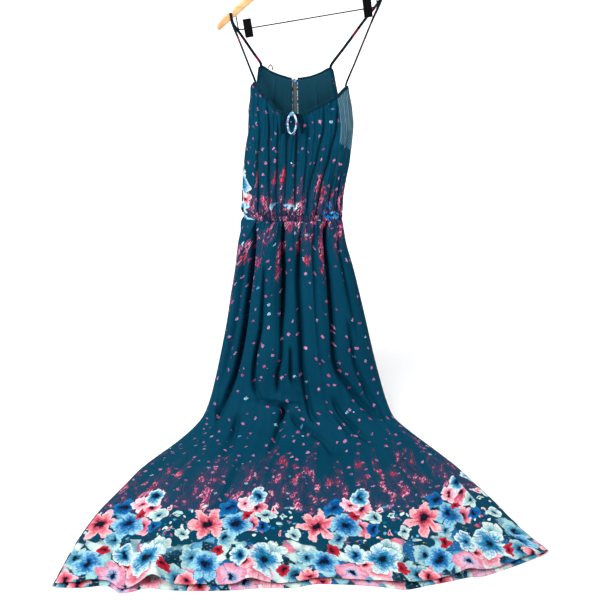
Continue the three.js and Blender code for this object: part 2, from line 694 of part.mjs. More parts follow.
function addNeckLoop() {
  const foot = bodicePoint(-1, -0.53, 1, backEdge(-0.53), WALL / 2, false).point;
  const rise = BACK_BAND + SEAM_GAP * 2 + 1.8;
  const rows = LOOP_ROWS.map((row) => ({
    x: foot.x + row.x, y: foot.y + row.y, z: foot.z + rise + row.z, turn: row.turn,
  }));
  addPiece('neck_loop', ribbon(rows, 14, 3, 1.2), bindingCloth);
}

// Tie at the centre front: a knot with two drooping side loops and a longer loop in the middle.
const TIE_LOOPS = {
  left: [
    { x: -5.5, y: -2, z: 1, turn: -10 },
    { x: -13, y: -5, z: -4, turn: -10 },
    { x: -19, y: -7, z: -18, turn: -8 },
    { x: -21, y: -7, z: -36, turn: -6 },
    { x: -21, y: -5, z: -45, turn: -4 },
    { x: -21, y: -2.4, z: -40, turn: -4 },
    { x: -20, y: -2, z: -22, turn: -4 },
    { x: -15, y: -1.6, z: -9, turn: -4 },
    { x: -9, y: 0, z: -3.5, turn: -4 },
  ],
  right: [
    { x: 5.3, y: -2, z: 1, turn: 10 },
    { x: 15, y: -5, z: -3, turn: 10 },
    { x: 22, y: -7, z: -17, turn: 8 },
    { x: 24, y: -7, z: -34, turn: 6 },
    { x: 24, y: -5, z: -44, turn: 4 },
    { x: 24, y: -2.4, z: -38, turn: 4 },
    { x: 22, y: -2, z: -20, turn: 4 },
    { x: 16, y: -1.6, z: -8, turn: 4 },
    { x: 9, y: 0, z: -3, turn: 4 },
  ],
  centre: [
    { x: -4, y: -6.2, z: 0, turn: 8 },
    { x: -9, y: -9.3, z: -12, turn: 8 },
    { x: -10, y: -10, z: -32, turn: 10 },
    { x: -8, y: -10, z: -46, turn: 20 },
    { x: -1, y: -10, z: -53, turn: 60 },
    { x: 6, y: -10, z: -45, turn: 20 },
    { x: 10, y: -10, z: -30, turn: -8 },
    { x: 9, y: -9, z: -12, turn: -10 },
    { x: 4, y: -6, z: 0, turn: -10 },
  ],
};
const TIE_KNOT = { x: 5, y: 4.2, z: 5 };

function addTie() {
  const band = bodicePoint(1, -0.13, 1, frontEdge(-0.13), 0, false).point;
  const front = band.y - (BAND_THICKNESS - WALL) / 2 - SEAM_GAP - TIE_KNOT.y;
  const knot = new THREE.SphereGeometry(1, 14, 9);
  knot.scale(TIE_KNOT.x, TIE_KNOT.y, TIE_KNOT.z);
  addPiece('tie_knot', knot, printCloth).position.set(TIE_X, front, TIE_Z);
  Object.entries(TIE_LOOPS).forEach(([name, rows]) => {
    const placed = rows.map((row) => ({
      x: TIE_X + row.x, y: front + row.y, z: TIE_Z + row.z, turn: row.turn,
    }));
    const surface = name === 'centre' ? printCloth : bindingCloth;
    addPiece(`tie_loop_${name}`, ribbon(placed, 20, TIE_WIDTH, TIE_THICKNESS), surface);
  });
}

// Waist: an elastic casing, gathered all round
function addWaistCasing(name, half) {
  const steps = GATHERS_PER_HALF * 3;
  const heights = [WAIST_TOP_Z - SEAM_GAP / 2, WAIST_TOP_Z - WAIST_HEIGHT + SEAM_GAP / 2];
  const cells = heights.map((z) => evenly(-1, 1, steps).map((across, i) => {
    const place = ringPoint(bodiceRing(WAIST_TOP_Z), half, across);
    const ripple = i % 3 === 1 && i < steps ? GATHER_HEIGHT : 0;
    const uneven = 0.75 + 0.25 * Math.sin(i * 1.7);
    const out = ripple * uneven * (1 - smooth(0.95, 1, Math.abs(across)));
    return {
      point: new THREE.Vector3(place.x + place.outX * out, -(place.n + place.outN * out), z),
      outward: new THREE.Vector3(place.outX, -place.outN, 0),
    };
  }));
  const grid = cells.map((row) => row.map((cell) => cell.point));
  const inside = (cell) => cell.point.clone().addScaledVector(cell.outward, -WALL);
  const inner = cells.map((row) => row.map(inside));
  addPiece(name, wallGeometry(grid, inner), cloth);
}

// Skirt
const skirtAlong = SKIRT_SECTIONS.reduce((lengths, section, i) => {
  const before = SKIRT_SECTIONS[Math.max(i - 1, 0)];
  const step = Math.hypot(section.y - before.y, section.z - before.z);
  lengths.push((lengths[i - 1] || 0) + step);
  return lengths;
}, []);
const FOLD_STATIONS = { waist: 0, hip: 90, knee: 280, ankle: 500, train: 640 };

function foldColumn(row, along) {
  const stations = FOLD_PLACES.map((place) => ({ at: FOLD_STATIONS[place], value: row[place] }));
  return readTable(stations, 'at', along, 'value');
}

function skirtFold(half, share, across, along) {
  const folds = half > 0 ? FRONT_FOLDS : BACK_FOLDS;
  const strength = foldColumn(FOLD_STRENGTH, along);
  let valley = 0;
  folds.forEach((row) => {
    valley += row.depth * bell((share - foldColumn(row, along)) / row.width);
  });
  const gather = foldColumn(GATHER_STRENGTH, along) * SKIRT_GATHER;
  const ripple = gather * (0.5 - 0.5 * Math.cos(across * Math.PI * SKIRT_GATHERS));
  const nearSeams = 1 - smooth(0.9, 0.99, Math.abs(across));
  return (ripple - valley * strength) * nearSeams;
}

function skirtRise(x, y, nearHem) {
  let rise = 0;
  CRUMPLES.forEach((row) => {
    rise += row.height * bell((x - row.x) / row.alongX) * bell((y - row.y) / row.alongY);
  });
  HEM_WAVES.forEach((row) => {
    rise += row.height * bell((x - row.x) / row.width) * bell(nearHem / row.reach);
  });
  return rise;
}

// Places of a panel's columns across a ring: a few close ones by each seam, the rest evenly spread.
function columnPlace(i, columns, halfLength) {
  const edge = SKIRT_EDGE_ZONE / halfLength;
  const fromSeam = Math.min(i, columns - i);
  const side = i < columns / 2 ? -1 : 1;
  if (fromSeam <= SKIRT_EDGE_COLUMNS) {
    return side * (1 - (edge * fromSeam) / SKIRT_EDGE_COLUMNS);
  }
  return blend(-1 + edge, 1 - edge, (i - SKIRT_EDGE_COLUMNS) / (columns - 2 * SKIRT_EDGE_COLUMNS));
}

function skirtCell(half, section, along, i, columns) {
  const { halfLength } = ringPoint(section, half, 0);
  const across = columnPlace(i, columns, halfLength);
  const place = ringPoint(section, half, across);
  const lean = THREE.MathUtils.degToRad(section.lean);
  const front = new THREE.Vector3(0, -Math.cos(lean), Math.sin(lean));
  const down = new THREE.Vector3(0, -Math.sin(lean), -Math.cos(lean));
  const lying = half > 0 ? 0 : smooth(60, 90, section.lean);
  const fold = skirtFold(half, place.share, across, along) * (1 - lying);
  const hemDistance = skirtAlong[skirtAlong.length - 1] - along;
  const backShift = section.swing * Math.max(0, (place.share - 0.37) / 0.63) ** 1.6;
  const hemExtra = half < 0 ? BACK_HEM_EXTRA * (1 - smooth(0, 30, hemDistance)) : 0;
  const middle = new THREE.Vector3(place.x, section.y, section.z).addScaledVector(down, hemExtra - backShift);
  const outward = new THREE.Vector3(place.outX, 0, 0).addScaledVector(front, place.outN).normalize();
  const point = middle.clone()
    .addScaledVector(front, place.n)
    .addScaledVector(outward, fold);
  if (half > 0) {
    const nearSeams = 1 - smooth(0.86, 0.99, Math.abs(across));
    const turned = smooth(20, 70, section.lean);
    point.addScaledVector(front, skirtRise(point.x, point.y, hemDistance) * nearSeams * turned);
  }
  point.z = Math.max(point.z, FLOOR_Z);
  return { point, outward, middle, front: front.multiplyScalar(half) };
}

// Each half of the tube keeps to its own side of the ring's middle plane, inner face included.
function addSkirt(name, half, columns) {
  const cells = SKIRT_SECTIONS.map((section, r) => evenly(0, columns, columns)
    .map((i) => skirtCell(half, section, skirtAlong[r], i, columns)));
  const grid = cells.map((row) => row.map((cell) => cell.point));
  const normals = gridNormals(grid, (r, c) => cells[r][c].outward);
  const inner = cells.map((row, r) => row.map((cell, c) => {
    const normal = c === 0 || c === columns ? cell.outward : normals[r][c];
    const thickness = r >= SKIRT_SECTIONS.length - 2 ? HEM_WALL : WALL;
    const point = cell.point.clone().addScaledVector(normal, -thickness);
    const depth = point.clone().sub(cell.middle).dot(cell.front);
    return point.addScaledVector(cell.front, Math.max(0, SEAM_GAP / 2 - depth));
  }));
  addPiece(name, wallGeometry(grid, inner), cloth);
}

// Hanger, in its own upright frame about the middle of the hook, then tilted
const hanger = new THREE.Group();
hanger.position.set(0, 0, -HOOK_RADIUS);
hanger.rotation.y = -HANGER_TILT;
group.add(hanger);

function addHangerPiece(name, geometry, surface) {
  const mesh = new THREE.Mesh(geometry, surface);
  mesh.name = name;
  mesh.position.z = HOOK_RADIUS;
  hanger.add(mesh);
}

// Middle line of the wooden arms at a distance from the neck
function armZ(x) {
  const share = Math.abs(x) / ARM_SPAN;
  return blend(ARM_NECK_Z, ARM_TIP_Z, share ** 1.08);
}

function addWood() {
  const half = WOOD_HEIGHT / 2;
  const notchFloor = armZ(NOTCH_X + NOTCH_WIDTH / 2) + half - NOTCH_DEPTH;
  const topZ = (x) => armZ(x) + half + NECK_RISE * bell(x / NECK_SPREAD);
  const halfTop = [
    ...evenly(0, NOTCH_X - NOTCH_WIDTH / 2, 14).map((x) => [x, topZ(x)]),
    [NOTCH_X - NOTCH_WIDTH / 2 + 1, notchFloor],
    [NOTCH_X + NOTCH_WIDTH / 2 - 1, notchFloor],
    ...evenly(NOTCH_X + NOTCH_WIDTH / 2, ARM_SPAN - 2, 4).map((x) => [x, topZ(x)]),
    [ARM_SPAN + 4, ARM_TIP_Z + half * 0.4],
    [ARM_SPAN + 5, ARM_TIP_Z - half * 0.4],
    [ARM_SPAN, ARM_TIP_Z - half],
  ];
  const halfBottom = evenly(ARM_SPAN - 10, 0, 14).map((x) => [x, armZ(x) - half]);
  const right = [...halfTop, ...halfBottom];
  const left = right.slice(1, -1).reverse().map(([x, z]) => [-x, z]);
  const shape = new THREE.Shape([...right, ...left].map(([x, z]) => new THREE.Vector2(x, z)));
  const geometry = new THREE.ExtrudeGeometry(shape, { depth: WOOD_THICKNESS, bevelEnabled: false });
  geometry.rotateX(Math.PI / 2);
  geometry.translate(0, WOOD_THICKNESS / 2, 0);
  addHangerPiece('hanger_wood', geometry, material(COLOURS.wood, 0.45));
}

// A round wire through points of the hanger's own plane
function wireGeometry(points, diameter) {
  const centres = points.map(([x, z]) => new THREE.Vector3(x, 0, z));
  const directions = tangents(centres);
  const toFront = new THREE.Vector3(0, -1, 0);
  const loops = centres.map((centre, i) => {
    const side = new THREE.Vector3().crossVectors(directions[i], toFront);
    return evenly(0, WIRE_SIDES - 1, WIRE_SIDES - 1).map((corner) => {
      const angle = (corner / WIRE_SIDES) * Math.PI * 2;
      return centre.clone()
        .addScaledVector(side, Math.cos(angle) * diameter / 2)
        .addScaledVector(toFront, Math.sin(angle) * diameter / 2);
    });
  });
  return loftGeometry(loops);
}

function arcPoints(centreX, centreZ, radius, fromDegrees, toDegrees, steps) {
  return evenly(fromDegrees, toDegrees, steps).map((degrees) => {
    const angle = THREE.MathUtils.degToRad(degrees);
    return [centreX + radius * Math.cos(angle), centreZ + radius * Math.sin(angle)];
  });
}

function addHook() {
  const reach = HOOK_RADIUS + HOOK_WIRE / 2;
  const foot = armZ(0) + WOOD_HEIGHT / 2 + NECK_RISE + SEAM_GAP;
  const points = [
    [0, foot], [0, foot + 5], [1.5, foot + 8.5], [5.5, foot + 11.5], [11, foot + 13.6],
    ...arcPoints(0, -HOOK_RADIUS, reach, -50, 205, 18),
  ];
  addHangerPiece('hanger_hook', wireGeometry(points, HOOK_WIRE), wire);
}

function addBar() {
  const foot = armZ(BAR_HALF) - WOOD_HEIGHT / 2 - SEAM_GAP - BAR_WIRE / 4;
  const bend = arcPoints(BAR_HALF - BAR_BEND, BAR_Z + BAR_BEND, BAR_BEND, -90, 0, 5);
  const right = [[BAR_HALF / 3, BAR_Z], ...bend, [BAR_HALF, foot]];
  const left = right.map(([x, z]) => [-x, z]).reverse();
  addHangerPiece('hanger_bar', wireGeometry([...left, ...right], BAR_WIRE), wire);
}

// A sprung clip astride the bar: two leaves joined by a bridge that rides on the wire.
const CLIP_OUTLINE = [
  { y: -7, up: 0.5 }, { y: -5.2, up: 0.5 }, { y: -3.2, up: 0.14 }, { y: 3.2, up: 0.14 },
  { y: 5.2, up: 0.5 }, { y: 7, up: 0.5 }, { y: 5.4, up: -0.02 }, { y: 3.4, up: -0.5 },
  { y: 1.2, up: -0.5 }, { y: 3.2, up: -0.02 }, { y: 2, up: 0.03 }, { y: -2, up: 0.03 },
  { y: -3.2, up: -0.02 }, { y: -1.2, up: -0.5 }, { y: -3.4, up: -0.5 }, { y: -5.4, up: -0.02 },
];

function addClip(name, x) {
  const shape = new THREE.Shape();
  const rest = BAR_WIRE / 2 + SEAM_GAP - 0.03 * CLIP_HEIGHT;
  CLIP_OUTLINE.forEach((row, i) => {
    const corner = [row.y, row.up * CLIP_HEIGHT + rest];
    if (i === 0) {
      shape.moveTo(...corner);
    } else {
      shape.lineTo(...corner);
    }
  });
  shape.closePath();
  const geometry = new THREE.ExtrudeGeometry(shape, { depth: CLIP_WIDTH, bevelEnabled: false });
  geometry.translate(0, 0, -CLIP_WIDTH / 2);
  geometry.rotateX(Math.PI / 2);
  geometry.rotateZ(Math.PI / 2);
  geometry.translate(x, 0, BAR_Z);
  addHangerPiece(name, geometry, material(COLOURS.clip, 0.4));
}

// Straps: from the front corner over the notch of the wooden arm and down to the back corner
function hangerPoint(x, y, z) {
  const up = z + HOOK_RADIUS;
  return {
    x: x * Math.cos(HANGER_TILT) - up * Math.sin(HANGER_TILT),
    y,
    z: -HOOK_RADIUS + x * Math.sin(HANGER_TILT) + up * Math.cos(HANGER_TILT),
  };
}

// The strap's foot lies flat on the inner face of the neck band, near the corner.
function strapFoot(half, edge, across, height) {
  const { point, outward } = bodicePoint(half, across, 1, edge(across), 0, false);
  const behind = WALL / 2 + BAND_THICKNESS / 2 + STRAP_THICKNESS / 2 + SEAM_GAP * 2;
  const turn = THREE.MathUtils.radToDeg(Math.atan2(half * outward.x, -half * outward.y));
  const low = point.addScaledVector(outward, -behind);
  const at = (up) => ({ x: low.x, y: low.y, z: low.z + height + up, turn });
  return [at(-STRAP_OVERLAP), at(0), at(STRAP_OVERLAP)];
}

const STRAP_PASS = [
  { y: -7.9, drop: 19 }, { y: -7.9, drop: 7 }, { y: -7.6, drop: 2 }, { y: -6.3, drop: -0.4 },
  { y: -3.6, drop: -0.9 }, { y: 0, drop: -0.7 }, { y: 3.6, drop: -0.9 }, { y: 6.3, drop: -0.4 },
  { y: 7.6, drop: 2 }, { y: 7.9, drop: 7 }, { y: 7.9, drop: 19 },
];
const STRAP_TWIST = 62;

function addStrap(name, side) {
  const inside = side * STRAP_INSET;
  const front = strapFoot(1, frontEdge, FRONT_CORNERS[name] - inside, NECK_BAND);
  const back = strapFoot(-1, backEdge, BACK_CORNERS[name] - inside, BACK_BAND).reverse();
  const notchFloor = armZ(NOTCH_X + NOTCH_WIDTH / 2) + WOOD_HEIGHT / 2 - NOTCH_DEPTH;
  const rest = notchFloor + STRAP_THICKNESS / 2 + SEAM_GAP;
  const over = STRAP_PASS.map((row) => ({ ...hangerPoint(side * NOTCH_X, row.y, rest - row.drop), turn: 0 }));
  const between = (from, to, share, turn) => ({
    x: blend(from.x, to.x, share), y: blend(from.y, to.y, share), z: blend(from.z, to.z, share), turn,
  });
  const frontTop = front[front.length - 1];
  const rows = [
    ...front,
    between(frontTop, over[0], 0.25, side * STRAP_TWIST),
    between(frontTop, over[0], 0.7, side * STRAP_TWIST),
    ...over,
    between(over[over.length - 1], back[0], 0.35, 0),
    between(over[over.length - 1], back[0], 0.7, 0),
    ...back,
  ];
  addPiece(`strap_${name}`, ribbon(rows, (rows.length - 1) * 2, STRAP_WIDTH, STRAP_THICKNESS), strapCloth);
}

const frontPanel = makeBodiceFront();
const backPanels = {
  left: makeBackGrid(-1, BACK_CORNERS.left, -1, backEdge, noInset, true),
  right: makeBackGrid(1, BACK_CORNERS.right, 1, backEdge, noInset, true),
};
addPiece('bodice_front', clothWall(frontPanel.grid, frontPanel.outward, () => WALL), cloth);
Object.entries(backPanels).forEach(([name, panel]) => {
  addPiece(`bodice_back_${name}`, clothWall(panel.grid, panel.outward, () => WALL), cloth);
});
addFrontLining();
addBackLining('lining_back_left', -1, BACK_CORNERS.left);
addBackLining('lining_back_right', 1, BACK_CORNERS.right);
addNeckBands(frontPanel, backPanels);
addArmBand('left', -1, frontPanel, backPanels.left);
addArmBand('right', 1, frontPanel, backPanels.right);
addSlit(backPanels);
addButton();
addNeckLoop();
addTie();
addWaistCasing('waist_casing_front', 1);
addWaistCasing('waist_casing_back', -1);
addSkirt('skirt_front', 1, SKIRT_FRONT_COLUMNS);
addSkirt('skirt_back', -1, SKIRT_BACK_COLUMNS);
addWood();
addHook();
addBar();
addClip('hanger_clip_left', -CLIP_X);
addClip('hanger_clip_right', CLIP_X);
addStrap('left', -1);
addStrap('right', 1);

export default group;
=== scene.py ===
"""The looks of a strappy maxi dress on a tilted wooden hanger, its skirt fanned out over the floor.

Lengths of the forms are millimetres in the part's own frame. Those of the print, on the flat cloth, and those
of the lights and the camera are metres, as the meshes are.
"""
import math
from functools import partialmethod

import bpy
import numpy as np
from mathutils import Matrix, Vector


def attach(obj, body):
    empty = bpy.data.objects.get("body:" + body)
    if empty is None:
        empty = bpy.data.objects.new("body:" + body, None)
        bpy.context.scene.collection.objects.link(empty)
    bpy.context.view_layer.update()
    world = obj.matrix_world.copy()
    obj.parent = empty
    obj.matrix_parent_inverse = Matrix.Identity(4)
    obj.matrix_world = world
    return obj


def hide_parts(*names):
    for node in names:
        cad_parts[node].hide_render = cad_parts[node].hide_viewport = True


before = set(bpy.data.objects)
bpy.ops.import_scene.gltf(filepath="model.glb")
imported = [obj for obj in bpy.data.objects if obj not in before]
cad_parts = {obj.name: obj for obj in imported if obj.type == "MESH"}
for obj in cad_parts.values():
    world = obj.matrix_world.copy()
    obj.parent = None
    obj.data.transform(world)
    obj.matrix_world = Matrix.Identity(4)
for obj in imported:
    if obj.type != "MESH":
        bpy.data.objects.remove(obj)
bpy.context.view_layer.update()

MM = 0.001
FLOOR_Z = -1197
WAIST_TOP_Z = -650
WAIST_HEIGHT = 14
CLOTH = 0.7
SEED = 11
# Every fold is a narrow slot in a wider hollow, deeper than its table says by one scale
FOLD_SCALE = 1.9
SLOT_WIDTH = 0.8
SLOT_SHARE = 0.7
HOLLOW_WIDTH = 2.7


# Tables
def table(columns, *rows):
    """Rows of a label and numbers, as one array for each named column."""
    names = columns.split()[1:]
    return {name: np.array([row[i + 1] for row in rows], float) for i, name in enumerate(names)}


BODICE = table(
    "place z left right depth square",
    ("waist", -650, -133, 113, 38, 2.4),
    ("blouse", -638, -136, 116, 42, 2.4),
    ("midriff", -600, -135, 120, 41, 2.5),
    ("rib", -560, -134, 126, 39, 2.7),
    ("under bust", -520, -130, 133, 37, 3),
    ("right underarm", -480, -124, 136, 35, 3.3),
    ("left underarm", -440, -116, 138, 34, 3.6),
    ("bust", -400, -113, 133, 33, 3.8),
    ("front corners", -340, -107, 124, 31, 4),
    ("back corners", -290, -104, 118, 30, 4),
)
FRONT_EDGE = table(
    "place across z",
    ("left underarm", -1, -440),
    ("left armhole", -0.93, -396),
    ("left corner", -0.83, -341),
    ("left slope", -0.72, -356),
    ("left bust", -0.54, -380),
    ("left scoop", -0.38, -402),
    ("tie left", -0.22, -411),
    ("tie right", -0.02, -412),
    ("right scoop", 0.21, -399),
    ("right bust", 0.465, -382),
    ("right slope", 0.66, -368),
    ("right corner", 0.86, -349),
    ("right armhole", 0.94, -420),
    ("right underarm", 1, -490),
)
BACK_EDGE = table(
    "place across z",
    ("left underarm", -1, -440),
    ("left armhole low", -0.86, -404),
    ("left armhole high", -0.78, -345),
    ("left corner", -0.735, -300),
    ("left neck", -0.52, -314),
    ("left centre", -0.3, -324),
    ("centre", -0.09, -329),
    ("right centre", 0.15, -326),
    ("right neck", 0.38, -317),
    ("right corner", 0.6, -305),
    ("right armhole high", 0.66, -362),
    ("right armhole low", 0.78, -440),
    ("right underarm", 1, -490),
)
LINING_EDGE = table(
    "place across z",
    ("left seam", -0.94, -455),
    ("left armhole", -0.88, -395),
    ("left corner", -0.8, -350),
    ("left bust", -0.54, -382),
    ("left scoop", -0.38, -404),
    ("centre", -0.12, -413.5),
    ("right scoop", 0.21, -401),
    ("right bust", 0.465, -384),
    ("right slope", 0.62, -374),
    ("right inner edge", 0.645, -378),
    ("right inner corner", 0.67, -474),
    ("right lower edge", 0.8, -484),
    ("right seam", 0.94, -496),
)
# Shares of the half ring at which the straps' corners and the slit lie
CORNERS = {"front": {-1: -0.83, 1: 0.86}, "back": {-1: -0.735, 1: 0.6}}
SLIT_ACROSS = -0.09
HALF_ARC = 141
SLIT_HALF_WIDTH = 4.5
SLIT_BAND = 2.6
SLIT_END_Z = -472
SLIT_EASE = 14

SKIRT = table(
    "place y z left right depth square lean swing",
    ("waist", 0, -664.3, -133, 113, 38, 2.4, 0, 0),
    ("gathers", -1, -690, -142, 119, 46, 2.4, 0, 0),
    ("high hip", -4, -730, -152, 129, 52, 2.4, 0, 0),
    ("hip", -11, -795, -161, 149, 56, 2.3, 0, 0),
    ("thigh", -24, -868, -174, 168, 59, 2.3, 2, 0),
    ("knee", -41, -940, -186, 186, 61, 2.3, 5, 0),
    ("calf", -62, -1012, -201, 203, 60, 2.4, 10, 0),
    ("shin", -84, -1078, -216, 221, 56, 2.5, 20, 0),
    ("ankle", -112, -1127, -229, 236, 46, 2.6, 36, 0),
    ("bend", -150, -1160, -245, 253, 33, 2.7, 56, 0),
    ("touch", -200, -1181, -280, 298, 17.4, 2.8, 75, 0),
    ("train", -256, -1190, -322, 340, 8, 3, 90, 4),
    ("first fan", -330, -1192, -366, 374, 6, 3, 90, 20),
    ("mid fan", -415, -1192, -396, 403, 6, 3, 90, 38),
    ("wide fan", -500, -1192, -424, 430, 6, 3, 90, 55),
    ("low fan", -580, -1192, -438, 453, 6, 3, 90, 70),
    ("above hem", -640, -1192, -443, 472, 6, 3, 90, 82),
    ("hem turn", -684, -1192, -445, 493, 6, 3, 90, 90),
    ("hem", -694, -1192, -446, 498, 6, 3, 90, 92),
)
SKIRT["along"] = np.concatenate([[0], np.cumsum(np.hypot(np.diff(SKIRT["y"]), np.diff(SKIRT["z"])))])
SKIRT_LENGTH = SKIRT["along"][-1]

# How far the side seams lie in front of the ring's ends, as a share of the half ring
SKIRT_SEAMS = table(
    "place along left right",
    ("waist", 0, 0.33, 0.04),
    ("hip", 120, 0.12, 0.04),
    ("knee", 300, 0.04, 0.04),
    ("bend", 500, 0.12, 0.12),
    ("touch", 590, 0.24, 0.15),
    ("train", 650, 0.12, 0.12),
    ("fan", 720, 0.02, 0.08),
    ("low fan", 900, 0.01, 0.09),
    ("hem", 1080, 0.01, 0.06),
)

# Folds of the skirt's front, each a line down the cloth: distance from the waist, share of the half
# width, half width of the fold and its depth. A depth below zero is a ridge.
FRONT_FOLDS = {
    "far left": [(0, -0.76, 3, 4), (48, -0.72, 6, 17), (150, -0.75, 8, 25), (310, -0.76, 8, 25),
                 (400, -0.77, 8, 19), (476, -0.81, 9, 15), (565, -0.85, 11, 9), (640, -0.9, 14, 3)],
    "left": [(90, -0.5, 4, 1), (160, -0.5, 5, 8), (261, -0.5, 6, 12), (368, -0.54, 6, 14),
             (415, -0.53, 7, 13), (455, -0.49, 7, 12), (487, -0.4, 7, 11), (497, -0.18, 7, 6)],
    "mid left": [(0, -0.19, 3, 5), (32, -0.17, 5, 22), (120, -0.18, 7, 27), (230, -0.2, 7, 26),
                 (278, -0.21, 6, 17), (348, -0.2, 6, 11), (414, -0.24, 6, 11), (463, -0.22, 6, 9),
                 (484, -0.08, 6, 4)],
    "short": [(310, -0.09, 4, 1), (344, -0.08, 5, 8), (414, -0.08, 6, 11), (450, 0, 6, 10), (466, 0.1, 6, 4)],
    "centre": [(10, 0.17, 3, 4), (40, 0.16, 5, 12), (100, 0.1, 7, 15), (159, 0.06, 8, 15),
               (281, 0.06, 8, 15), (360, 0.06, 8, 15), (439, 0.08, 8, 14), (500, 0.11, 8, 12),
               (533, 0.13, 9, 9), (585, 0.2, 10, 3)],
    "mid right": [(0, 0.47, 3, 3), (60, 0.4, 5, 6), (160, 0.33, 6, 5), (280, 0.3, 7, 4), (420, 0.32, 8, 2)],
    "right": [(0, 0.72, 3, 5), (25, 0.66, 5, 16), (110, 0.6, 7, 22), (221, 0.54, 8, 20), (368, 0.48, 8, 17),
              (400, 0.5, 8, 17), (439, 0.58, 8, 16), (505, 0.73, 9, 13), (540, 0.86, 10, 8),
              (580, 0.94, 12, 2)],
    "far right": [(240, 0.72, 5, 1), (286, 0.75, 6, 7), (371, 0.74, 7, 10), (463, 0.81, 8, 9),
                  (525, 0.88, 9, 5), (560, 0.93, 10, 1)],
    "right edge": [(20, 0.9, 4, 3), (90, 0.86, 6, 8), (180, 0.84, 6, 8), (270, 0.86, 7, 4),
                   (330, 0.88, 8, 1)],
    "left edge": [(10, -0.93, 4, 2), (90, -0.9, 6, 6), (220, -0.9, 7, 8), (380, -0.91, 8, 6),
                  (480, -0.93, 8, 1)],
    "tuck": [(470, -0.44, 4, 3), (488, -0.42, 5, 12), (500, -0.3, 6, 16), (505, -0.18, 6, 21),
             (520, -0.15, 6, 19), (548, -0.17, 7, 14), (600, -0.2, 9, 9), (690, -0.2, 13, 3)],
    "under the tuck": [(528, -0.1, 5, 4), (556, -0.04, 6, 15), (580, 0.06, 7, 15), (602, 0.15, 8, 12),
                       (640, 0.22, 11, 6), (690, 0.25, 14, 1)],
    "tuck ridge": [(480, -0.3, 7, -5), (493, -0.2, 7, -11), (496, -0.1, 7, -10), (510, 0.02, 8, -5)],
    "bend left": [(520, -0.62, 8, 3), (560, -0.6, 9, 9), (610, -0.55, 11, 8), (700, -0.5, 14, 2)],
    "bend right": [(470, 0.36, 7, 3), (515, 0.42, 8, 10), (575, 0.5, 9, 10), (640, 0.56, 12, 3)],
    "bend ridge": [(500, 0.26, 10, -3), (560, 0.32, 12, -5), (640, 0.38, 15, -2)],
    "train left": [(640, -0.34, 18, 1), (740, -0.36, 20, 4), (860, -0.38, 20, 3), (950, -0.39, 18, 0.5)],
    "train right": [(620, 0.72, 16, 1), (720, 0.76, 20, 5), (880, 0.8, 20, 5), (1000, 0.82, 18, 1)],
    "train middle": [(700, 0.06, 18, 0.5), (820, 0.08, 20, 3.5), (960, 0.08, 20, 2)],
}
BACK_FOLDS = {
    "left": [(0, -0.7, 4, 4), (90, -0.66, 8, 14), (280, -0.68, 9, 17), (460, -0.7, 10, 12),
             (560, -0.72, 12, 2)],
    "left inner": [(0, -0.34, 4, 4), (60, -0.36, 7, 12), (200, -0.34, 8, 18), (360, -0.33, 8, 15),
                   (500, -0.36, 10, 7), (560, -0.38, 12, 1)],
    "centre": [(0, 0.02, 4, 3), (90, 0.04, 7, 12), (230, 0.02, 8, 15), (400, 0, 9, 13), (540, -0.03, 12, 2)],
    "right inner": [(0, 0.38, 4, 4), (50, 0.35, 6, 12), (190, 0.38, 8, 18), (330, 0.4, 8, 16),
                    (520, 0.43, 11, 3)],
    "right": [(0, 0.72, 4, 4), (90, 0.7, 7, 13), (260, 0.66, 8, 15), (420, 0.68, 9, 12), (550, 0.72, 11, 2)],
    "short left": [(130, -0.5, 4, 1), (220, -0.51, 6, 9), (330, -0.5, 7, 10), (450, -0.53, 8, 2)],
    "short right": [(200, 0.2, 4, 1), (290, 0.21, 6, 8), (400, 0.22, 7, 8), (500, 0.2, 9, 1)],
    "upper right": [(0, 0.55, 3, 3), (60, 0.54, 5, 8), (150, 0.53, 6, 5), (230, 0.53, 7, 1)],
    "upper left": [(0, -0.16, 3, 3), (70, -0.17, 5, 9), (160, -0.16, 6, 6), (240, -0.15, 7, 1)],
}
HEM_WAVES = table(
    "place x width reach height",
    ("left corner", -380, 26, 120, 8),
    ("left opening", -262, 22, 190, 20),
    ("left crest", -236, 18, 150, 6),
    ("left middle", -170, 26, 110, 5),
    ("middle opening", -84, 26, 150, 13),
    ("middle", 58, 38, 120, 4),
    ("right middle", 190, 40, 160, 7),
    ("right", 330, 36, 150, 9),
    ("right corner", 448, 24, 110, 8),
)
HUMPS = table(
    "place x y width reach height",
    ("left tuck", -38, -172, 52, 14, 7),
    ("centre tuck", 12, -206, 46, 12, 5),
    ("right tuck", 78, -232, 60, 16, 6),
    ("left roll", -150, -224, 40, 30, 5),
    ("fan left", -220, -420, 70, 60, 5),
    ("fan middle", 40, -400, 80, 50, 4),
    ("fan right", 250, -450, 70, 60, 5),
)

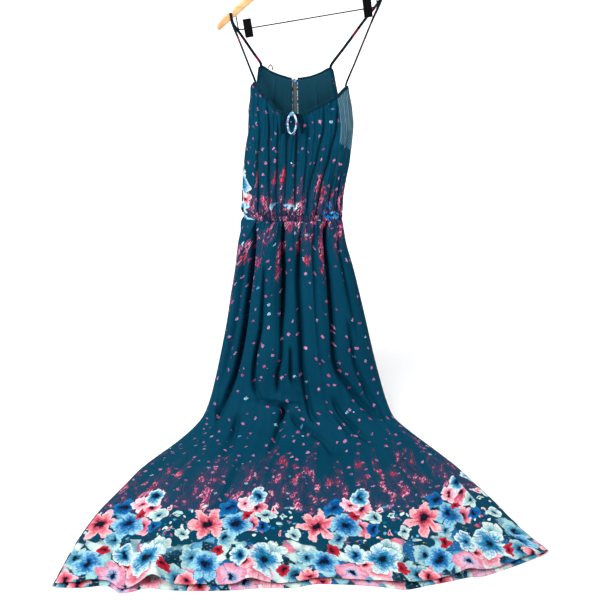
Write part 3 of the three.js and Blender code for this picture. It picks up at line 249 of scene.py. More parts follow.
# Folds of the bodice's front: share of the height above the waist, share of the half ring, half width, depth
BODICE_FOLDS = {
    "left edge": [(0, -0.84, 4, 4), (0.25, -0.85, 5, 7), (0.5, -0.88, 5, 5), (0.8, -0.9, 4, 2)],
    "left outer": [(0, -0.6, 3, 4), (0.2, -0.6, 4, 6), (0.5, -0.64, 4, 5), (0.85, -0.7, 3, 2),
                   (1, -0.72, 2, 1)],
    "left strong": [(0, -0.72, 3, 5), (0.15, -0.74, 4, 8), (0.35, -0.74, 4, 7), (0.6, -0.72, 4, 2)],
    "left inner": [(0, -0.38, 3, 3), (0.3, -0.42, 4, 6), (0.7, -0.5, 4, 6), (1, -0.56, 2, 2)],
    "left of tie": [(0, -0.26, 3, 3), (0.4, -0.3, 4, 6), (0.8, -0.36, 4, 4), (1, -0.4, 2, 1.5)],
    "under tie left": [(0, -0.12, 3, 2), (0.35, -0.14, 4, 6), (0.8, -0.2, 4, 6), (1, -0.22, 3, 2)],
    "under tie": [(0, 0.04, 3, 3), (0.3, 0.02, 4, 9), (0.7, -0.03, 4, 10), (0.97, -0.07, 3, 4)],
    "right of tie": [(0, 0.19, 3, 2), (0.4, 0.17, 4, 4), (0.8, 0.13, 3, 3), (1, 0.1, 2, 2)],
    "right inner": [(0, 0.24, 3, 3), (0.3, 0.28, 4, 7), (0.7, 0.36, 4, 5), (1, 0.4, 2, 1.5)],
    "right": [(0, 0.42, 3, 4), (0.3, 0.47, 4, 8), (0.65, 0.56, 4, 7), (0.95, 0.64, 3, 2)],
    "right outer": [(0, 0.62, 3, 3), (0.3, 0.66, 4, 5), (0.6, 0.7, 4, 2)],
    "right edge": [(0, 0.78, 3, 4), (0.3, 0.8, 4, 6), (0.55, 0.82, 4, 3), (0.7, 0.83, 4, 1)],
}
BACK_BODICE_FOLDS = {
    "left outer": [(0, -0.78, 3, 4), (0.3, -0.77, 4, 6), (0.7, -0.76, 4, 2)],
    "left": [(0, -0.55, 3, 4), (0.3, -0.54, 4, 7), (0.7, -0.5, 4, 5), (1, -0.46, 2, 1)],
    "left inner": [(0, -0.32, 3, 3), (0.4, -0.3, 4, 6), (0.8, -0.27, 3, 2)],
    "right inner": [(0, 0.14, 3, 3), (0.35, 0.13, 4, 6), (0.8, 0.1, 3, 2)],
    "right": [(0, 0.36, 3, 4), (0.3, 0.34, 4, 7), (0.7, 0.3, 4, 4), (1, 0.28, 2, 1)],
    "right outer": [(0, 0.64, 3, 4), (0.3, 0.62, 4, 7), (0.7, 0.56, 4, 2)],
}


# Curves and rings
def smooth(low, high, value):
    t = np.clip((value - low) / (high - low), 0, 1)
    return t * t * (3 - 2 * t)


def follow(rows, key, column, at):
    """A column of a table at any values of its key, on a smooth curve that never overshoots a row."""
    order = np.argsort(rows[key])
    x = rows[key][order]
    y = rows[column][order]
    slope = np.diff(y) / np.diff(x)
    product = slope[:-1] * slope[1:]
    total = np.where(product > 0, slope[:-1] + slope[1:], 1)
    steep = np.concatenate([[slope[0]], np.where(product > 0, 2 * product / total, 0), [slope[-1]]])
    at = np.clip(at, x[0], x[-1])
    i = np.clip(np.searchsorted(x, at) - 1, 0, len(x) - 2)
    span = x[i + 1] - x[i]
    t = (at - x[i]) / span
    ends = (1 + 2 * t) * (1 - t) ** 2 * y[i] + t * t * (3 - 2 * t) * y[i + 1]
    return ends + t * (1 - t) * span * ((1 - t) * steep[i] - t * steep[i + 1])


ARC = np.linspace(0, math.pi / 2, 181)


def ring(half, shape, position):
    """Places on one ring. Position runs from -1 to 1 over the half ring, and past its ends onto the other.

    Gives x, n (to the front), the outward direction in both, and the share of the half width."""
    a = (shape["right"] - shape["left"]) / 2
    centre = (shape["right"] + shape["left"]) / 2
    arc_x = a * np.sin(ARC) ** (2 / shape["square"])
    arc_n = shape["depth"] * np.cos(ARC) ** (2 / shape["square"])
    length = np.concatenate([[0], np.cumsum(np.hypot(np.diff(arc_x), np.diff(arc_n)))])
    past = np.abs(position) > 1
    across = np.where(past, np.sign(position) * (2 - np.abs(position)), position)
    face = np.where(past, -half, half)
    side = np.where(across < 0, -1, 1)
    wanted = np.abs(across) * length[-1]
    x = np.interp(wanted, length, arc_x)
    n = np.interp(wanted, length, arc_n)
    slope_x = (np.maximum(x, 1e-6) / a) ** (shape["square"] - 1) / a
    slope_n = (np.maximum(n, 1e-6) / shape["depth"]) ** (shape["square"] - 1) / shape["depth"]
    size = np.hypot(slope_x, slope_n)
    return centre + side * x, face * n, side * slope_x / size, face * slope_n / size, side * x / a


SKIRT_FADE = 44
BODICE_FADE = 16


def fold_depth(folds, down, share, half_width, fade, scale=1):
    """How deep every point lies in the folds. down and half_width are arrays of one value for each row."""
    total = np.zeros(share.shape)
    for rows in folds.values():
        line = dict(zip(("down", "share", "width", "depth"), np.array(rows, float).T))
        line["down"] = line["down"] * scale
        from_end = np.minimum(down - line["down"][0], line["down"][-1] - down)
        opens_at_edge = (line["down"][0] <= 0) & (down < fade)
        end_fade = np.where(opens_at_edge, 1, from_end / fade)
        place = follow(line, "down", "share", down)
        width = follow(line, "down", "width", down)
        depth = follow(line, "down", "depth", down) * smooth(0, 1, end_fade)
        steep = np.gradient(place * half_width) / np.maximum(np.gradient(down), 1e-6)
        sideways = (share - place[:, None]) * half_width[:, None] / np.hypot(1, steep)[:, None]
        slot = np.exp(-np.abs(sideways / (SLOT_WIDTH * width[:, None])) ** 3)
        hollow = np.exp(-(sideways / (HOLLOW_WIDTH * width[:, None])) ** 2)
        total += depth[:, None] * (SLOT_SHARE * slot + (1 - SLOT_SHARE) * hollow)
    return total * FOLD_SCALE


GATHER_PLACE = 0.4
GATHER_WIDTH = (0.28, 0.5)
GATHER_HEIGHT = (0.35, 1)
GATHER_LENGTH = (18, 95)
GATHER_DRIFT = 0.02 / 60
RIPPLE_WANDER = (0.4, 1.1)
RIPPLE_LENGTH = (160, 320)


def gathers(count, position, distance, strength, seed):
    """Small uneven gathers that start at a seam and fade with distance from it."""
    random = np.random.RandomState(seed)
    total = np.zeros(position.shape)
    centres = np.linspace(-1, 1, count) + random.uniform(-GATHER_PLACE, GATHER_PLACE, count) * 2 / count
    for centre in centres:
        width = random.uniform(*GATHER_WIDTH) * 2 / count
        height = strength * random.uniform(*GATHER_HEIGHT)
        length = random.uniform(*GATHER_LENGTH)
        drift = random.uniform(-GATHER_DRIFT, GATHER_DRIFT) * distance
        fade = 1 - smooth(0.15, 1, distance / length)
        total += height * fade * np.exp(-((position - centre - drift) / width) ** 2)
    return total


def ripple(position, down, waves, seed):
    """Long low ripples that wander slowly down the cloth, from -1 to 1 or so."""
    random = np.random.RandomState(seed)
    total = np.zeros(position.shape)
    for wave in waves:
        phase = random.uniform(0, 2 * math.pi)
        height = random.uniform(*RIPPLE_WANDER)
        wander = height * np.sin(down / random.uniform(*RIPPLE_LENGTH) + random.uniform(0, 6))
        total += np.cos(position * wave * math.pi + phase + wander) / len(waves)
    return total


# Meshes
def link(name, mesh, material):
    mesh.polygons.foreach_set("use_smooth", [True] * len(mesh.polygons))
    piece = bpy.data.objects.new(name.replace(" ", "_"), mesh)
    bpy.context.scene.collection.objects.link(piece)
    mesh.materials.append(material)
    return piece


def grid_mesh(name, points, flat, outward, material):
    """A sheet through a grid of points, its faces towards outward, with its flat place as UV in metres."""
    rows, columns = points.shape[:2]
    index = np.arange(rows * columns).reshape(rows, columns)
    faces = np.stack([index[:-1, :-1], index[:-1, 1:], index[1:, 1:], index[1:, :-1]], axis=-1).reshape(-1, 4)
    row, column = rows // 2, columns // 2
    right = points[row, column + 1] - points[row, column]
    up = points[row + 1, column] - points[row, column]
    if np.dot(np.cross(right, up), outward[row, column]) < 0:
        faces = faces[:, ::-1]
    mesh = bpy.data.meshes.new(name)
    mesh.from_pydata((points.reshape(-1, 3) * MM).tolist(), [], faces.tolist())
    lay_flat(mesh, flat)
    return link(name, mesh, material)


def lay_flat(mesh, flat):
    """Keeps every vertex's place on the flat cloth, in millimetres, as the mesh's UV in metres."""
    layer = mesh.uv_layers.new(name="cloth")
    order = np.zeros(len(mesh.loops), int)
    mesh.loops.foreach_get("vertex_index", order)
    layer.data.foreach_set("uv", (flat.reshape(-1, 2)[order] * MM).ravel())


def thicken(piece, thickness):
    shell = piece.modifiers.new("Thickness", "SOLIDIFY")
    shell.thickness = thickness * MM
    shell.offset = -1
    shell.use_even_offset = False
    return piece


def placed(piece, node):
    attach(piece, "root")
    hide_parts(node)
    return piece


def flat_places(points, up_from, middle):
    """Flat place of every point of a sheet, measured on the sheet itself."""
    across = np.linalg.norm(np.diff(points, axis=1), axis=2)
    u = np.concatenate([np.zeros((len(points), 1)), np.cumsum(across, axis=1)], axis=1)
    u -= u[:, middle][:, None]
    along = np.linalg.norm(np.diff(points, axis=0), axis=2)
    v = np.concatenate([np.zeros((1, points.shape[1])), np.cumsum(along, axis=0)], axis=0)
    return np.stack([u, up_from + v], axis=-1)


# Skirt
SWING_START = 0.37
SWING_BEND = 1.6


def skirt_points(half, down, position):
    """Points, outward directions and share of the half width, for rows down and columns of positions."""
    names = [name for name in SKIRT if name != "along"]
    at = {name: follow(SKIRT, "along", name, down) for name in names}
    points = np.zeros((*position.shape, 3))
    outward = np.zeros(points.shape)
    share = np.zeros(position.shape)
    for r in range(len(down)):
        shape = {name: at[name][r] for name in names}
        x, n, out_x, out_n, share[r] = ring(half, shape, position[r])
        lean = math.radians(shape["lean"])
        front = np.array([0, -math.cos(lean), math.sin(lean)])
        fall = np.array([0, -math.sin(lean), -math.cos(lean)])
        beyond = np.maximum(0, (share[r] - SWING_START) / (1 - SWING_START))
        swing = shape["swing"] * beyond ** SWING_BEND
        middle = np.stack([x, np.full_like(x, shape["y"]), np.full_like(x, shape["z"])], axis=1)
        points[r] = middle - fall * swing[:, None] + front * n[:, None]
        outward[r] = np.array([1, 0, 0]) * out_x[:, None] + front * out_n[:, None]
    return points, outward, share, at


SKIRT_GRID = {1: (156, 305), -1: (120, 241)}
SKIRT_FOLDS = {1: FRONT_FOLDS, -1: BACK_FOLDS}
# Height of the ripples, their waves across and a seed; count, height and seed of the gathers
SKIRT_RIPPLES = {1: (1.5, (9, 14, 23), SEED), -1: (1.4, (8, 13, 21), SEED + 2)}
SKIRT_GATHERS = {1: (46, 8, SEED + 1), -1: (44, 7, SEED + 3)}
RIPPLES_START = 200
# Leans in degrees over which the cloth comes to lie on the floor, and over which bumps rise from it
LYING_LEAN = (60, 90)
TURNED_LEAN = (20, 70)
# Shares of the half width past which folds and bumps fade towards the seams
FLAT_SEAMS = 0.95
FLAT_SIDES = 0.86
HEM_DROP = 3.2
HEM_DROP_REACH = 260
HEM_BEND = 90
WAIST_FULLNESS = 0.3
FULLNESS_REACH = 170
FLOOR_GAP = CLOTH * 0.2
# How far the hem reaches forward or stays back of its line
HEM_REACH = table(
    "place x reach",
    ("left corner", -446, 0), ("left", -400, 0), ("left dip", -350, -6), ("left step", -334, 2),
    ("left bulge", -318, 13), ("left bulge end", -300, 10), ("beside", -280, 2), ("opening", -266, 0),
    ("left middle", -237, 5), ("flat", -173, 7), ("flat end", -110, 5), ("middle opening", -61, 0),
    ("middle", -9, 0), ("middle dip", 42, -10), ("after the dip", 101, -8), ("right middle", 156, -3),
    ("right bulge", 199, 4), ("right", 250, -2), ("right dip", 320, -4), ("right step", 355, 3),
    ("right end", 390, 2), ("right corner", 498, 0),
)
BACK_HEM_EXTRA = 6
BACK_HEM_REACH = 30


def bumps(rows, x, y):
    """Soft bumps over the cloth, one for each row of a table; a row without y has its top where y is 0."""
    total = 0
    tops = rows.get("y", np.zeros(len(rows["x"])))
    for i, top in enumerate(tops):
        across, along = (x - rows["x"][i]) / rows["width"][i], (y - top) / rows["reach"][i]
        total = total + rows["height"][i] * np.exp(-across ** 2 - along ** 2)
    return total


def skirt_panel(half):
    rows, columns = SKIRT_GRID[half]
    down = np.linspace(0, SKIRT_LENGTH, rows)
    left = -1 + half * follow(SKIRT_SEAMS, "along", "left", down)
    right = 1 - half * follow(SKIRT_SEAMS, "along", "right", down)
    mix = np.linspace(0, 1, columns)
    position = left[:, None] * (1 - mix) + right[:, None] * mix
    points, outward, share, at = skirt_points(half, down, position)
    half_width = (at["right"] - at["left"]) / 2
    lying = smooth(*LYING_LEAN, at["lean"])[:, None]
    hem = (SKIRT_LENGTH - down)[:, None]
    rows_down = np.broadcast_to(down[:, None], position.shape)
    from_middle = np.broadcast_to(np.abs(2 * mix - 1), position.shape)
    near_seams = 1 - smooth(FLAT_SEAMS, 1, from_middle)
    hanging = 1 if half > 0 else 1 - lying
    ripple_height, waves, ripple_seed = SKIRT_RIPPLES[half]
    count, gather_height, gather_seed = SKIRT_GATHERS[half]
    folds = -fold_depth(SKIRT_FOLDS[half], down, share, half_width, SKIRT_FADE) * hanging
    low_ripples = ripple(position, rows_down, waves, ripple_seed) * hanging
    folds += ripple_height * low_ripples * smooth(0, RIPPLES_START, rows_down)
    folds += gathers(count, position, rows_down, gather_height, gather_seed)
    flat = flat_places(points[::-1], 0, columns // 2)[::-1]
    flat[..., 0] *= 1 + WAIST_FULLNESS * (1 - smooth(0, FULLNESS_REACH, rows_down))
    points += outward * (folds * near_seams)[..., None]
    if half > 0:
        turned = smooth(*TURNED_LEAN, at["lean"])[:, None] * (1 - smooth(FLAT_SIDES, 1, from_middle))
        rise = bumps(HUMPS, points[..., 0], points[..., 1]) + bumps(HEM_WAVES, points[..., 0], hem)
        points[..., 2] += (rise - HEM_DROP * (1 - smooth(0, HEM_DROP_REACH, hem))) * turned
    else:
        points[..., 1] -= BACK_HEM_EXTRA * (1 - smooth(0, BACK_HEM_REACH, hem))
    points[..., 1] -= follow(HEM_REACH, "x", "reach", points[..., 0]) * (1 - smooth(0, HEM_BEND, hem))
    points[..., 2] = np.maximum(points[..., 2], FLOOR_Z + FLOOR_GAP)
    return points, outward, flat


# Bodice: its smooth form at close heights and places, looked up between them
LATTICE_REACH = 1.4
LATTICE_Z = np.linspace(-652, -280, 94)
LATTICE_PLACE = np.linspace(-LATTICE_REACH, LATTICE_REACH, 561)


def bodice_lattice(half):
    rows = []
    for z in LATTICE_Z:
        shape = {name: follow(BODICE, "z", name, z) for name in ("left", "right", "depth", "square")}
        rows.append(np.stack(ring(half, shape, LATTICE_PLACE)[:4], axis=-1))
    return np.array(rows)


LATTICE = {1: bodice_lattice(1), -1: bodice_lattice(-1)}


def bodice_points(half, position, z, out):
    """Points of the bodice, pushed out by some millimetres, and their outward directions."""
    row = np.clip((z - LATTICE_Z[0]) / (LATTICE_Z[1] - LATTICE_Z[0]), 0, len(LATTICE_Z) - 1.001)
    column = (position + LATTICE_REACH) / (LATTICE_PLACE[1] - LATTICE_PLACE[0])
    column = np.clip(column, 0, len(LATTICE_PLACE) - 1.001)
    r, c = row.astype(int), column.astype(int)
    up, across = (row - r)[..., None], (column - c)[..., None]
    grid = LATTICE[half]
    low = grid[r, c] * (1 - across) + grid[r, c + 1] * across
    high = grid[r + 1, c] * (1 - across) + grid[r + 1, c + 1] * across
    value = low * (1 - up) + high * up
    x, n, out_x, out_n = (value[..., i] for i in range(4))
    points = np.stack([x + out_x * out, -(n + out_n * out), z], axis=-1)
    return points, np.stack([out_x, -out_n, np.zeros_like(x)], axis=-1)


BODICE_HEIGHT = 250
BODICE_SEAMS = table(
    "place z left right",
    ("waist", -650, 0.33, 0.04),
    ("rib", -560, 0.32, 0.05),
    ("under bust", -510, 0.27, 0.03),
    ("right underarm", -490, 0.22, 0.02),
    ("side", -465, 0.08, 0),
    ("left underarm", -440, 0, 0),
)
BODICE_ROWS = np.linspace(0, 1, 111)
BODICE_RIPPLE = 1.7
BODICE_WAVES = (11, 17, 29)
WAIST_GATHERS = (44, 7)
NECK_GATHERS = {1: (30, 4), -1: (30, 0.8)}
FLAT_EDGES = 0.9
LINING_LIVELINESS = 0.2
# Share of a fold's depth that a lining keeps however smooth it is
STEADY_FOLDS = 0.4


def bodice_panel(half, tops, edge, out, folds, shift, liveliness):
    """A panel of the bodice from the waist to its upper edge, its columns at the shares in tops."""
    share = np.broadcast_to(BODICE_ROWS[:, None], (len(BODICE_ROWS), len(tops)))
    top = follow(edge, "across", "z", tops)
    z = WAIST_TOP_Z + share * (top - WAIST_TOP_Z)[None, :]
    left = follow(BODICE_SEAMS, "z", "left", z)
    right = follow(BODICE_SEAMS, "z", "right", z)
    position = tops * (1 - half * np.where(tops < 0, left, right))
    if shift is not None:
        position = position + shift(z)
    height = BODICE_ROWS * BODICE_HEIGHT
    width = np.full(len(BODICE_ROWS), float(HALF_ARC))
    near_edges = 1 - smooth(FLAT_EDGES, 1, np.abs(tops))
    steady = STEADY_FOLDS + (1 - STEADY_FOLDS) * liveliness
    deep = fold_depth(folds, height, position, width, BODICE_FADE, BODICE_HEIGHT) * steady
    rows_up = share * BODICE_HEIGHT
    soft = BODICE_RIPPLE * ripple(position, rows_up, BODICE_WAVES, SEED + half) * smooth(0, 0.1, 1 - share)
    count, tallest = WAIST_GATHERS
    tight = gathers(count, position, rows_up, tallest, SEED + 5 + half)
    count, tallest = NECK_GATHERS[half]
    neck = gathers(count, position, BODICE_HEIGHT - rows_up, tallest, SEED + 9 + half)
    pushed = (liveliness * (soft + tight + neck) - deep) * near_edges
    return bodice_points(half, position, z, pushed + out(share))


# Bands, ribbons, tubes and wires
def rounded(count, squareness):
    """A closed outline about the middle of a unit square with rounded corners."""
    angle = np.linspace(0, 2 * math.pi, count, endpoint=False)
    cos, sin = np.cos(angle), np.sin(angle)
    return [np.sign(part) * np.abs(part) ** (2 / squareness) / 2 for part in (cos, sin)]


def lying_along(direction, count):
    return np.tile(direction, (count, 1))


def tangents(points):
    before = np.concatenate([points[:1], points[:-1]])
    after = np.concatenate([points[1:], points[-1:]])
    step = after - before
    return step / np.linalg.norm(step, axis=1)[:, None]


def loft(name, centres, sides, faces, widths, thicknesses, outline, material):
    """A closed solid along centres, its outline spread over sides and faces."""
    across, out = outline
    widths = np.broadcast_to(widths, len(centres))
    thicknesses = np.broadcast_to(thicknesses, len(centres))
    points = (centres[:, None] + sides[:, None] * (across[None, :, None] * widths[:, None, None])
              + faces[:, None] * (out[None, :, None] * thicknesses[:, None, None]))
    rows, columns = points.shape[:2]
    index = np.arange(rows * columns).reshape(rows, columns)
    turned = np.roll(index, -1, axis=1)
    quads = np.stack([index[:-1], turned[:-1], turned[1:], index[1:]], axis=-1).reshape(-1, 4).tolist()
    ends = [index[0][::-1].tolist(), index[-1].tolist()]
    mesh = bpy.data.meshes.new(name)
    mesh.from_pydata((points.reshape(-1, 3) * MM).tolist(), [], quads + ends)
    length = np.concatenate([[0], np.cumsum(np.linalg.norm(np.diff(centres, axis=0), axis=1))])
    girth = np.linspace(0, 2 * widths.max(), columns, endpoint=False)
    lay_flat(mesh, np.stack(np.broadcast_arrays(girth[None, :], length[:, None]), axis=-1))
    mesh.validate()
    if sum(face.area * face.normal.dot(face.center) for face in mesh.polygons) < 0:
        mesh.flip_normals()
    return link(name, mesh, material)


FORWARD = np.array([0.0, -1.0, 0.0])
UP = np.array([0.0, 0.0, 1.0])
BAND_OUTLINE = rounded(14, 3.2)
ROUND_OUTLINE = rounded(16, 2)
BAND_OVERLAP = 0.3


def edge_band(name, points, normals, towards, height, thickness, material):
    """A folded band sewn along an edge: it carries on from the cloth to the side that towards names."""
    along = tangents(points)
    sides = np.cross(normals, along)
    sides /= np.linalg.norm(sides, axis=1)[:, None]
    if np.dot(sides[len(sides) // 2], towards) < 0:
        sides = -sides
    faces = np.cross(along, sides)
    centres = points + sides * (height / 2 - BAND_OVERLAP) - normals * CLOTH / 2
    return loft(name, centres, sides, faces, height, thickness, BAND_OUTLINE, material)


def curve(rows, steps):
    """A smooth curve through the rows' first three numbers, and their fourth followed along it."""
    places = np.array([row[:3] for row in rows], float)
    ends = (2 * places[0] - places[1], 2 * places[-1] - places[-2])
    knots = np.vstack([ends[0], places, ends[1]])
    times = np.concatenate([[0], np.cumsum(np.linalg.norm(np.diff(knots, axis=0), axis=1) ** 0.5)])
    values = np.linspace(0, len(places) - 1.0001, steps + 1)
    points = []
    for value in values:
        i = int(value)
        p, t = knots[i:i + 4], times[i:i + 4]
        at = t[1] + (value - i) * (t[2] - t[1])
        a = [p[k] + (p[k + 1] - p[k]) * (at - t[k]) / (t[k + 1] - t[k]) for k in range(3)]
        b = [a[k] + (a[k + 1] - a[k]) * (at - t[k]) / (t[k + 2] - t[k]) for k in range(2)]
        points.append(b[0] + (b[1] - b[0]) * (at - t[1]) / (t[2] - t[1]))
    turn = np.interp(values, np.arange(len(places)), [row[3] for row in rows])
    return np.array(points), np.radians(turn)


HANGER_TILT = math.radians(8.8)
HOOK_RADIUS = 22


def ribbon(name, rows, steps, width, thickness, material):
    points, turn = curve(rows, steps)
    along = tangents(points)
    wanted = np.stack([np.cos(turn), np.sin(turn), np.cos(turn) * math.tan(HANGER_TILT)], axis=1)
    sides = wanted - along * (wanted * along).sum(axis=1)[:, None]
    sides /= np.linalg.norm(sides, axis=1)[:, None]
    return loft(name, points, sides, np.cross(along, sides), width, thickness, BAND_OUTLINE, material)


def hanger_place(x, y, z):
    up = np.asarray(z, float) + HOOK_RADIUS
    x = np.asarray(x, float)
    tilted_x = x * math.cos(HANGER_TILT) - up * math.sin(HANGER_TILT)
    tilted_z = -HOOK_RADIUS + x * math.sin(HANGER_TILT) + up * math.cos(HANGER_TILT)
    return np.stack(np.broadcast_arrays(tilted_x, np.asarray(y, float), tilted_z), axis=-1)


def wire(name, rows, diameter, material):
    """A round wire through (x, z) places of the hanger's own plane."""
    rows = np.array(rows, float)
    points = hanger_place(rows[:, 0], 0, rows[:, 1])
    along = tangents(points)
    faces = lying_along(FORWARD, len(points))
    return loft(name, points, np.cross(along, faces), faces, diameter, diameter, ROUND_OUTLINE, material)


def arc(centre_x, centre_z, radius, start, end, steps):
    angles = np.radians(np.linspace(start, end, steps + 1))
    return [(centre_x + radius * math.cos(a), centre_z + radius * math.sin(a)) for a in angles]


# Materials
def node_material(name):
    material = bpy.data.materials.new(name)
    material.use_nodes = True
    return material, Nodes(material.node_tree), material.node_tree.nodes["Principled BSDF"].inputs


def colour(red, green, blue):
    """A colour given as on screen, 0 to 255, in the linear values that shaders take."""
    values = [c / 255 for c in (red, green, blue)]
    return tuple(c / 12.92 if c <= 0.04045 else ((c + 0.055) / 1.055) ** 2.4 for c in values) + (1.0,)


class Nodes:
    """Short ways of adding nodes to one tree. A call gives an output; add gives a node, parts and cells all
    its outputs."""

    def __init__(self, tree):
        self.tree = tree

    def add(self, kind, inputs=(), **settings):
        node = self.tree.nodes.new(kind)
        for name, value in settings.items():
            setattr(node, name, value)
        for socket, value in dict(inputs).items():
            self.give(node.inputs[socket], value)
        return node

    def give(self, socket, value):
        """Links an output to a socket, or sets a plain value there."""
        if hasattr(value, "is_output"):
            self.tree.links.new(value, socket)
        else:
            socket.default_value = value

    def math(self, operation, a, b=0.0, c=0.0):
        return self.add("ShaderNodeMath", {0: a, 1: b, 2: c}, operation=operation).outputs[0]

    plus = partialmethod(math, "ADD")
    minus = partialmethod(math, "SUBTRACT")
    times = partialmethod(math, "MULTIPLY")
    over = partialmethod(math, "DIVIDE")
    scaled = partialmethod(math, "MULTIPLY_ADD")
    larger = partialmethod(math, "MAXIMUM")
    absolute = partialmethod(math, "ABSOLUTE")
    sine = partialmethod(math, "SINE")

    def cloth(self):
        return self.add("ShaderNodeUVMap", uv_map="cloth").outputs[0]

    def marked(self, name):
        return self.add("ShaderNodeAttribute", attribute_name=name).outputs["Fac"]

    def parts(self, vector):
        return self.add("ShaderNodeSeparateXYZ", {0: vector}).outputs

    def join(self, x, y):
        return self.add("ShaderNodeCombineXYZ", {0: x, 1: y}).outputs[0]

    def moved(self, vector, push, slope):
        """A place moved by push across and by slope times push up."""
        away = self.join(push, self.times(push, slope))
        return self.add("ShaderNodeVectorMath", {0: vector, 1: away}).outputs[0]

    def step(self, value, low, high):
        """0 below low and 1 above high, or the other way round where low is the greater."""
        inputs = {0: value, 1: low, 2: high}
        return self.add("ShaderNodeMapRange", inputs, interpolation_type="SMOOTHSTEP").outputs[0]

    def mix(self, share, a, b):
        node = self.add("ShaderNodeMix", data_type="RGBA")
        for socket, value in zip((0, 6, 7), (share, a, b)):
            self.give(node.inputs[socket], value)
        return node.outputs[2]

    def noise(self, vector, scale, detail=2.0, roughness=0.5, output=0):
        inputs = {"Vector": vector, "Scale": scale, "Detail": detail, "Roughness": roughness}
        return self.add("ShaderNodeTexNoise", inputs).outputs[output]

    def cells(self, vector, scale, randomness):
        inputs = {"Vector": vector, "Scale": scale, "Randomness": randomness}
        return self.add("ShaderNodeTexVoronoi", inputs, voronoi_dimensions="2D").outputs


THREADS_PER_METRE = 2600
THREAD_RELIEF = {"Strength": 0.25, "Distance": 0.0004}
CLOTH_GLOSS = 0.04


def finish_cloth(n, surface, place, tint, roughness):
    """A woven cloth's fine relief and faint gloss over a colour."""
    relief = {**THREAD_RELIEF, "Height": n.noise(place, THREADS_PER_METRE, 2)}
    values = {"Base Color": tint, "Normal": n.add("ShaderNodeBump", relief).outputs[0],
              "Roughness": roughness, "Specular IOR Level": CLOTH_GLOSS}
    for name, value in values.items():
        n.give(surface[name], value)


def plain_cloth(name, tint, roughness=0.8, darker=0.84):
    material, n, surface = node_material(name)
    place = n.cloth()
    shade = tuple(c * darker for c in tint[:3]) + (1.0,)
    finish_cloth(n, surface, place, n.mix(n.noise(place, 40, 3), shade, tint), roughness)
    return material


# Print: charted flowers in a repeat along the hem, sprays above them and beside the waist, and loose petals
REPEAT = 0.225
STRETCH = 1.25
PALETTES = {
    "coral": ((238, 184, 190), (214, 92, 112), (112, 12, 38)),
    "anemone": ((140, 200, 222), (16, 104, 168), (4, 28, 60)),
    "poppy": ((18, 112, 172), (6, 72, 132), (3, 20, 44)),
    "pansy": ((206, 230, 230), (28, 130, 178), (5, 40, 68)),
    "blossom": ((222, 218, 224), (216, 150, 170), (168, 34, 56)),
    "rose": ((218, 108, 130), (226, 172, 184), (60, 132, 180)),
    "blush": ((226, 184, 194), (208, 108, 132), (150, 40, 68)),
    "mint": ((168, 202, 200), (74, 146, 174), (10, 64, 102)),
    "white": ((212, 222, 212), (150, 190, 192), (40, 96, 122)),
    "red": ((190, 42, 58), (160, 22, 46), (78, 8, 26)),
}
FLOWERS = [
    # u, v, radius, turn, petals, depth, point, squash, palette
    (0.186, 0.066, 0.026, 10, 5, 0.3, 0.6, 0.9, "white"),
    (0.024, 0.052, 0.024, 40, 5, 0.25, 0.6, 0.9, "mint"),
    (0.094, 0.094, 0.022, 70, 5, 0.3, 0.6, 0.8, "mint"),
    (0.006, 0.104, 0.017, 20, 4, 0.35, 0.7, 0.9, "white"),
    (0.150, 0.020, 0.026, 0, 5, 0.25, 0.6, 0.9, "blush"),
    (0.218, 0.012, 0.027, 30, 5, 0.25, 0.6, 1.0, "mint"),
    (0.098, 0.012, 0.030, 15, 5, 0.25, 0.5, 0.9, "rose"),
    (0.052, 0.036, 0.032, 50, 6, 0.34, 0.5, 0.85, "anemone"),
    (0.166, 0.046, 0.037, 25, 5, 0.3, 0.5, 0.92, "pansy"),
    (0.128, 0.036, 0.014, 25, 5, 0.3, 0.6, 0.9, "coral"),
    (0.078, 0.066, 0.013, 55, 5, 0.3, 0.6, 0.9, "red"),
    (0.118, 0.058, 0.023, 75, 5, 0.25, 0.6, 0.85, "pansy"),
    (0.012, 0.004, 0.022, 5, 5, 0.25, 0.6, 0.8, "coral"),
    (0.196, 0.024, 0.014, 35, 5, 0.35, 0.8, 0.8, "red"),
    (0.156, 0.170, 0.027, 60, 5, 0.3, 0.7, 0.7, "blush"),
    (0.086, 0.146, 0.026, 15, 4, 0.35, 0.7, 0.8, "mint"),
    (0.176, 0.148, 0.021, 0, 4, 0.4, 0.8, 0.9, "white"),
    (0.148, 0.122, 0.022, 85, 5, 0.25, 0.6, 0.8, "blush"),
    (0.056, 0.128, 0.043, 8, 6, 0.52, 1.0, 0.92, "coral"),
    (0.116, 0.128, 0.034, 33, 5, 0.28, 0.5, 0.9, "anemone"),
    (0.096, 0.172, 0.024, 12, 5, 0.3, 0.6, 0.85, "poppy"),
    (0.130, 0.180, 0.021, 55, 5, 0.35, 0.6, 1.0, "blossom"),
    (0.154, 0.200, 0.025, 80, 6, 0.25, 0.5, 0.8, "pansy"),
    (0.136, 0.150, 0.012, 20, 5, 0.3, 0.8, 0.9, "red"),
    (0.170, 0.118, 0.017, 40, 5, 0.3, 0.6, 0.7, "poppy"),
    (0.194, 0.164, 0.010, 45, 4, 0.45, 0.9, 0.8, "blossom"),
    (0.214, 0.146, 0.008, 15, 4, 0.45, 0.9, 0.8, "white"),
    (0.204, 0.106, 0.008, 65, 3, 0.5, 1.0, 0.5, "coral"),
]
FLOWER_CENTRE = colour(8, 16, 34)
FLOWER_NUMBERS = ("Centre U", "Centre V", "Radius", "Cos", "Sin", "Petals", "Depth", "Point", "Squash")


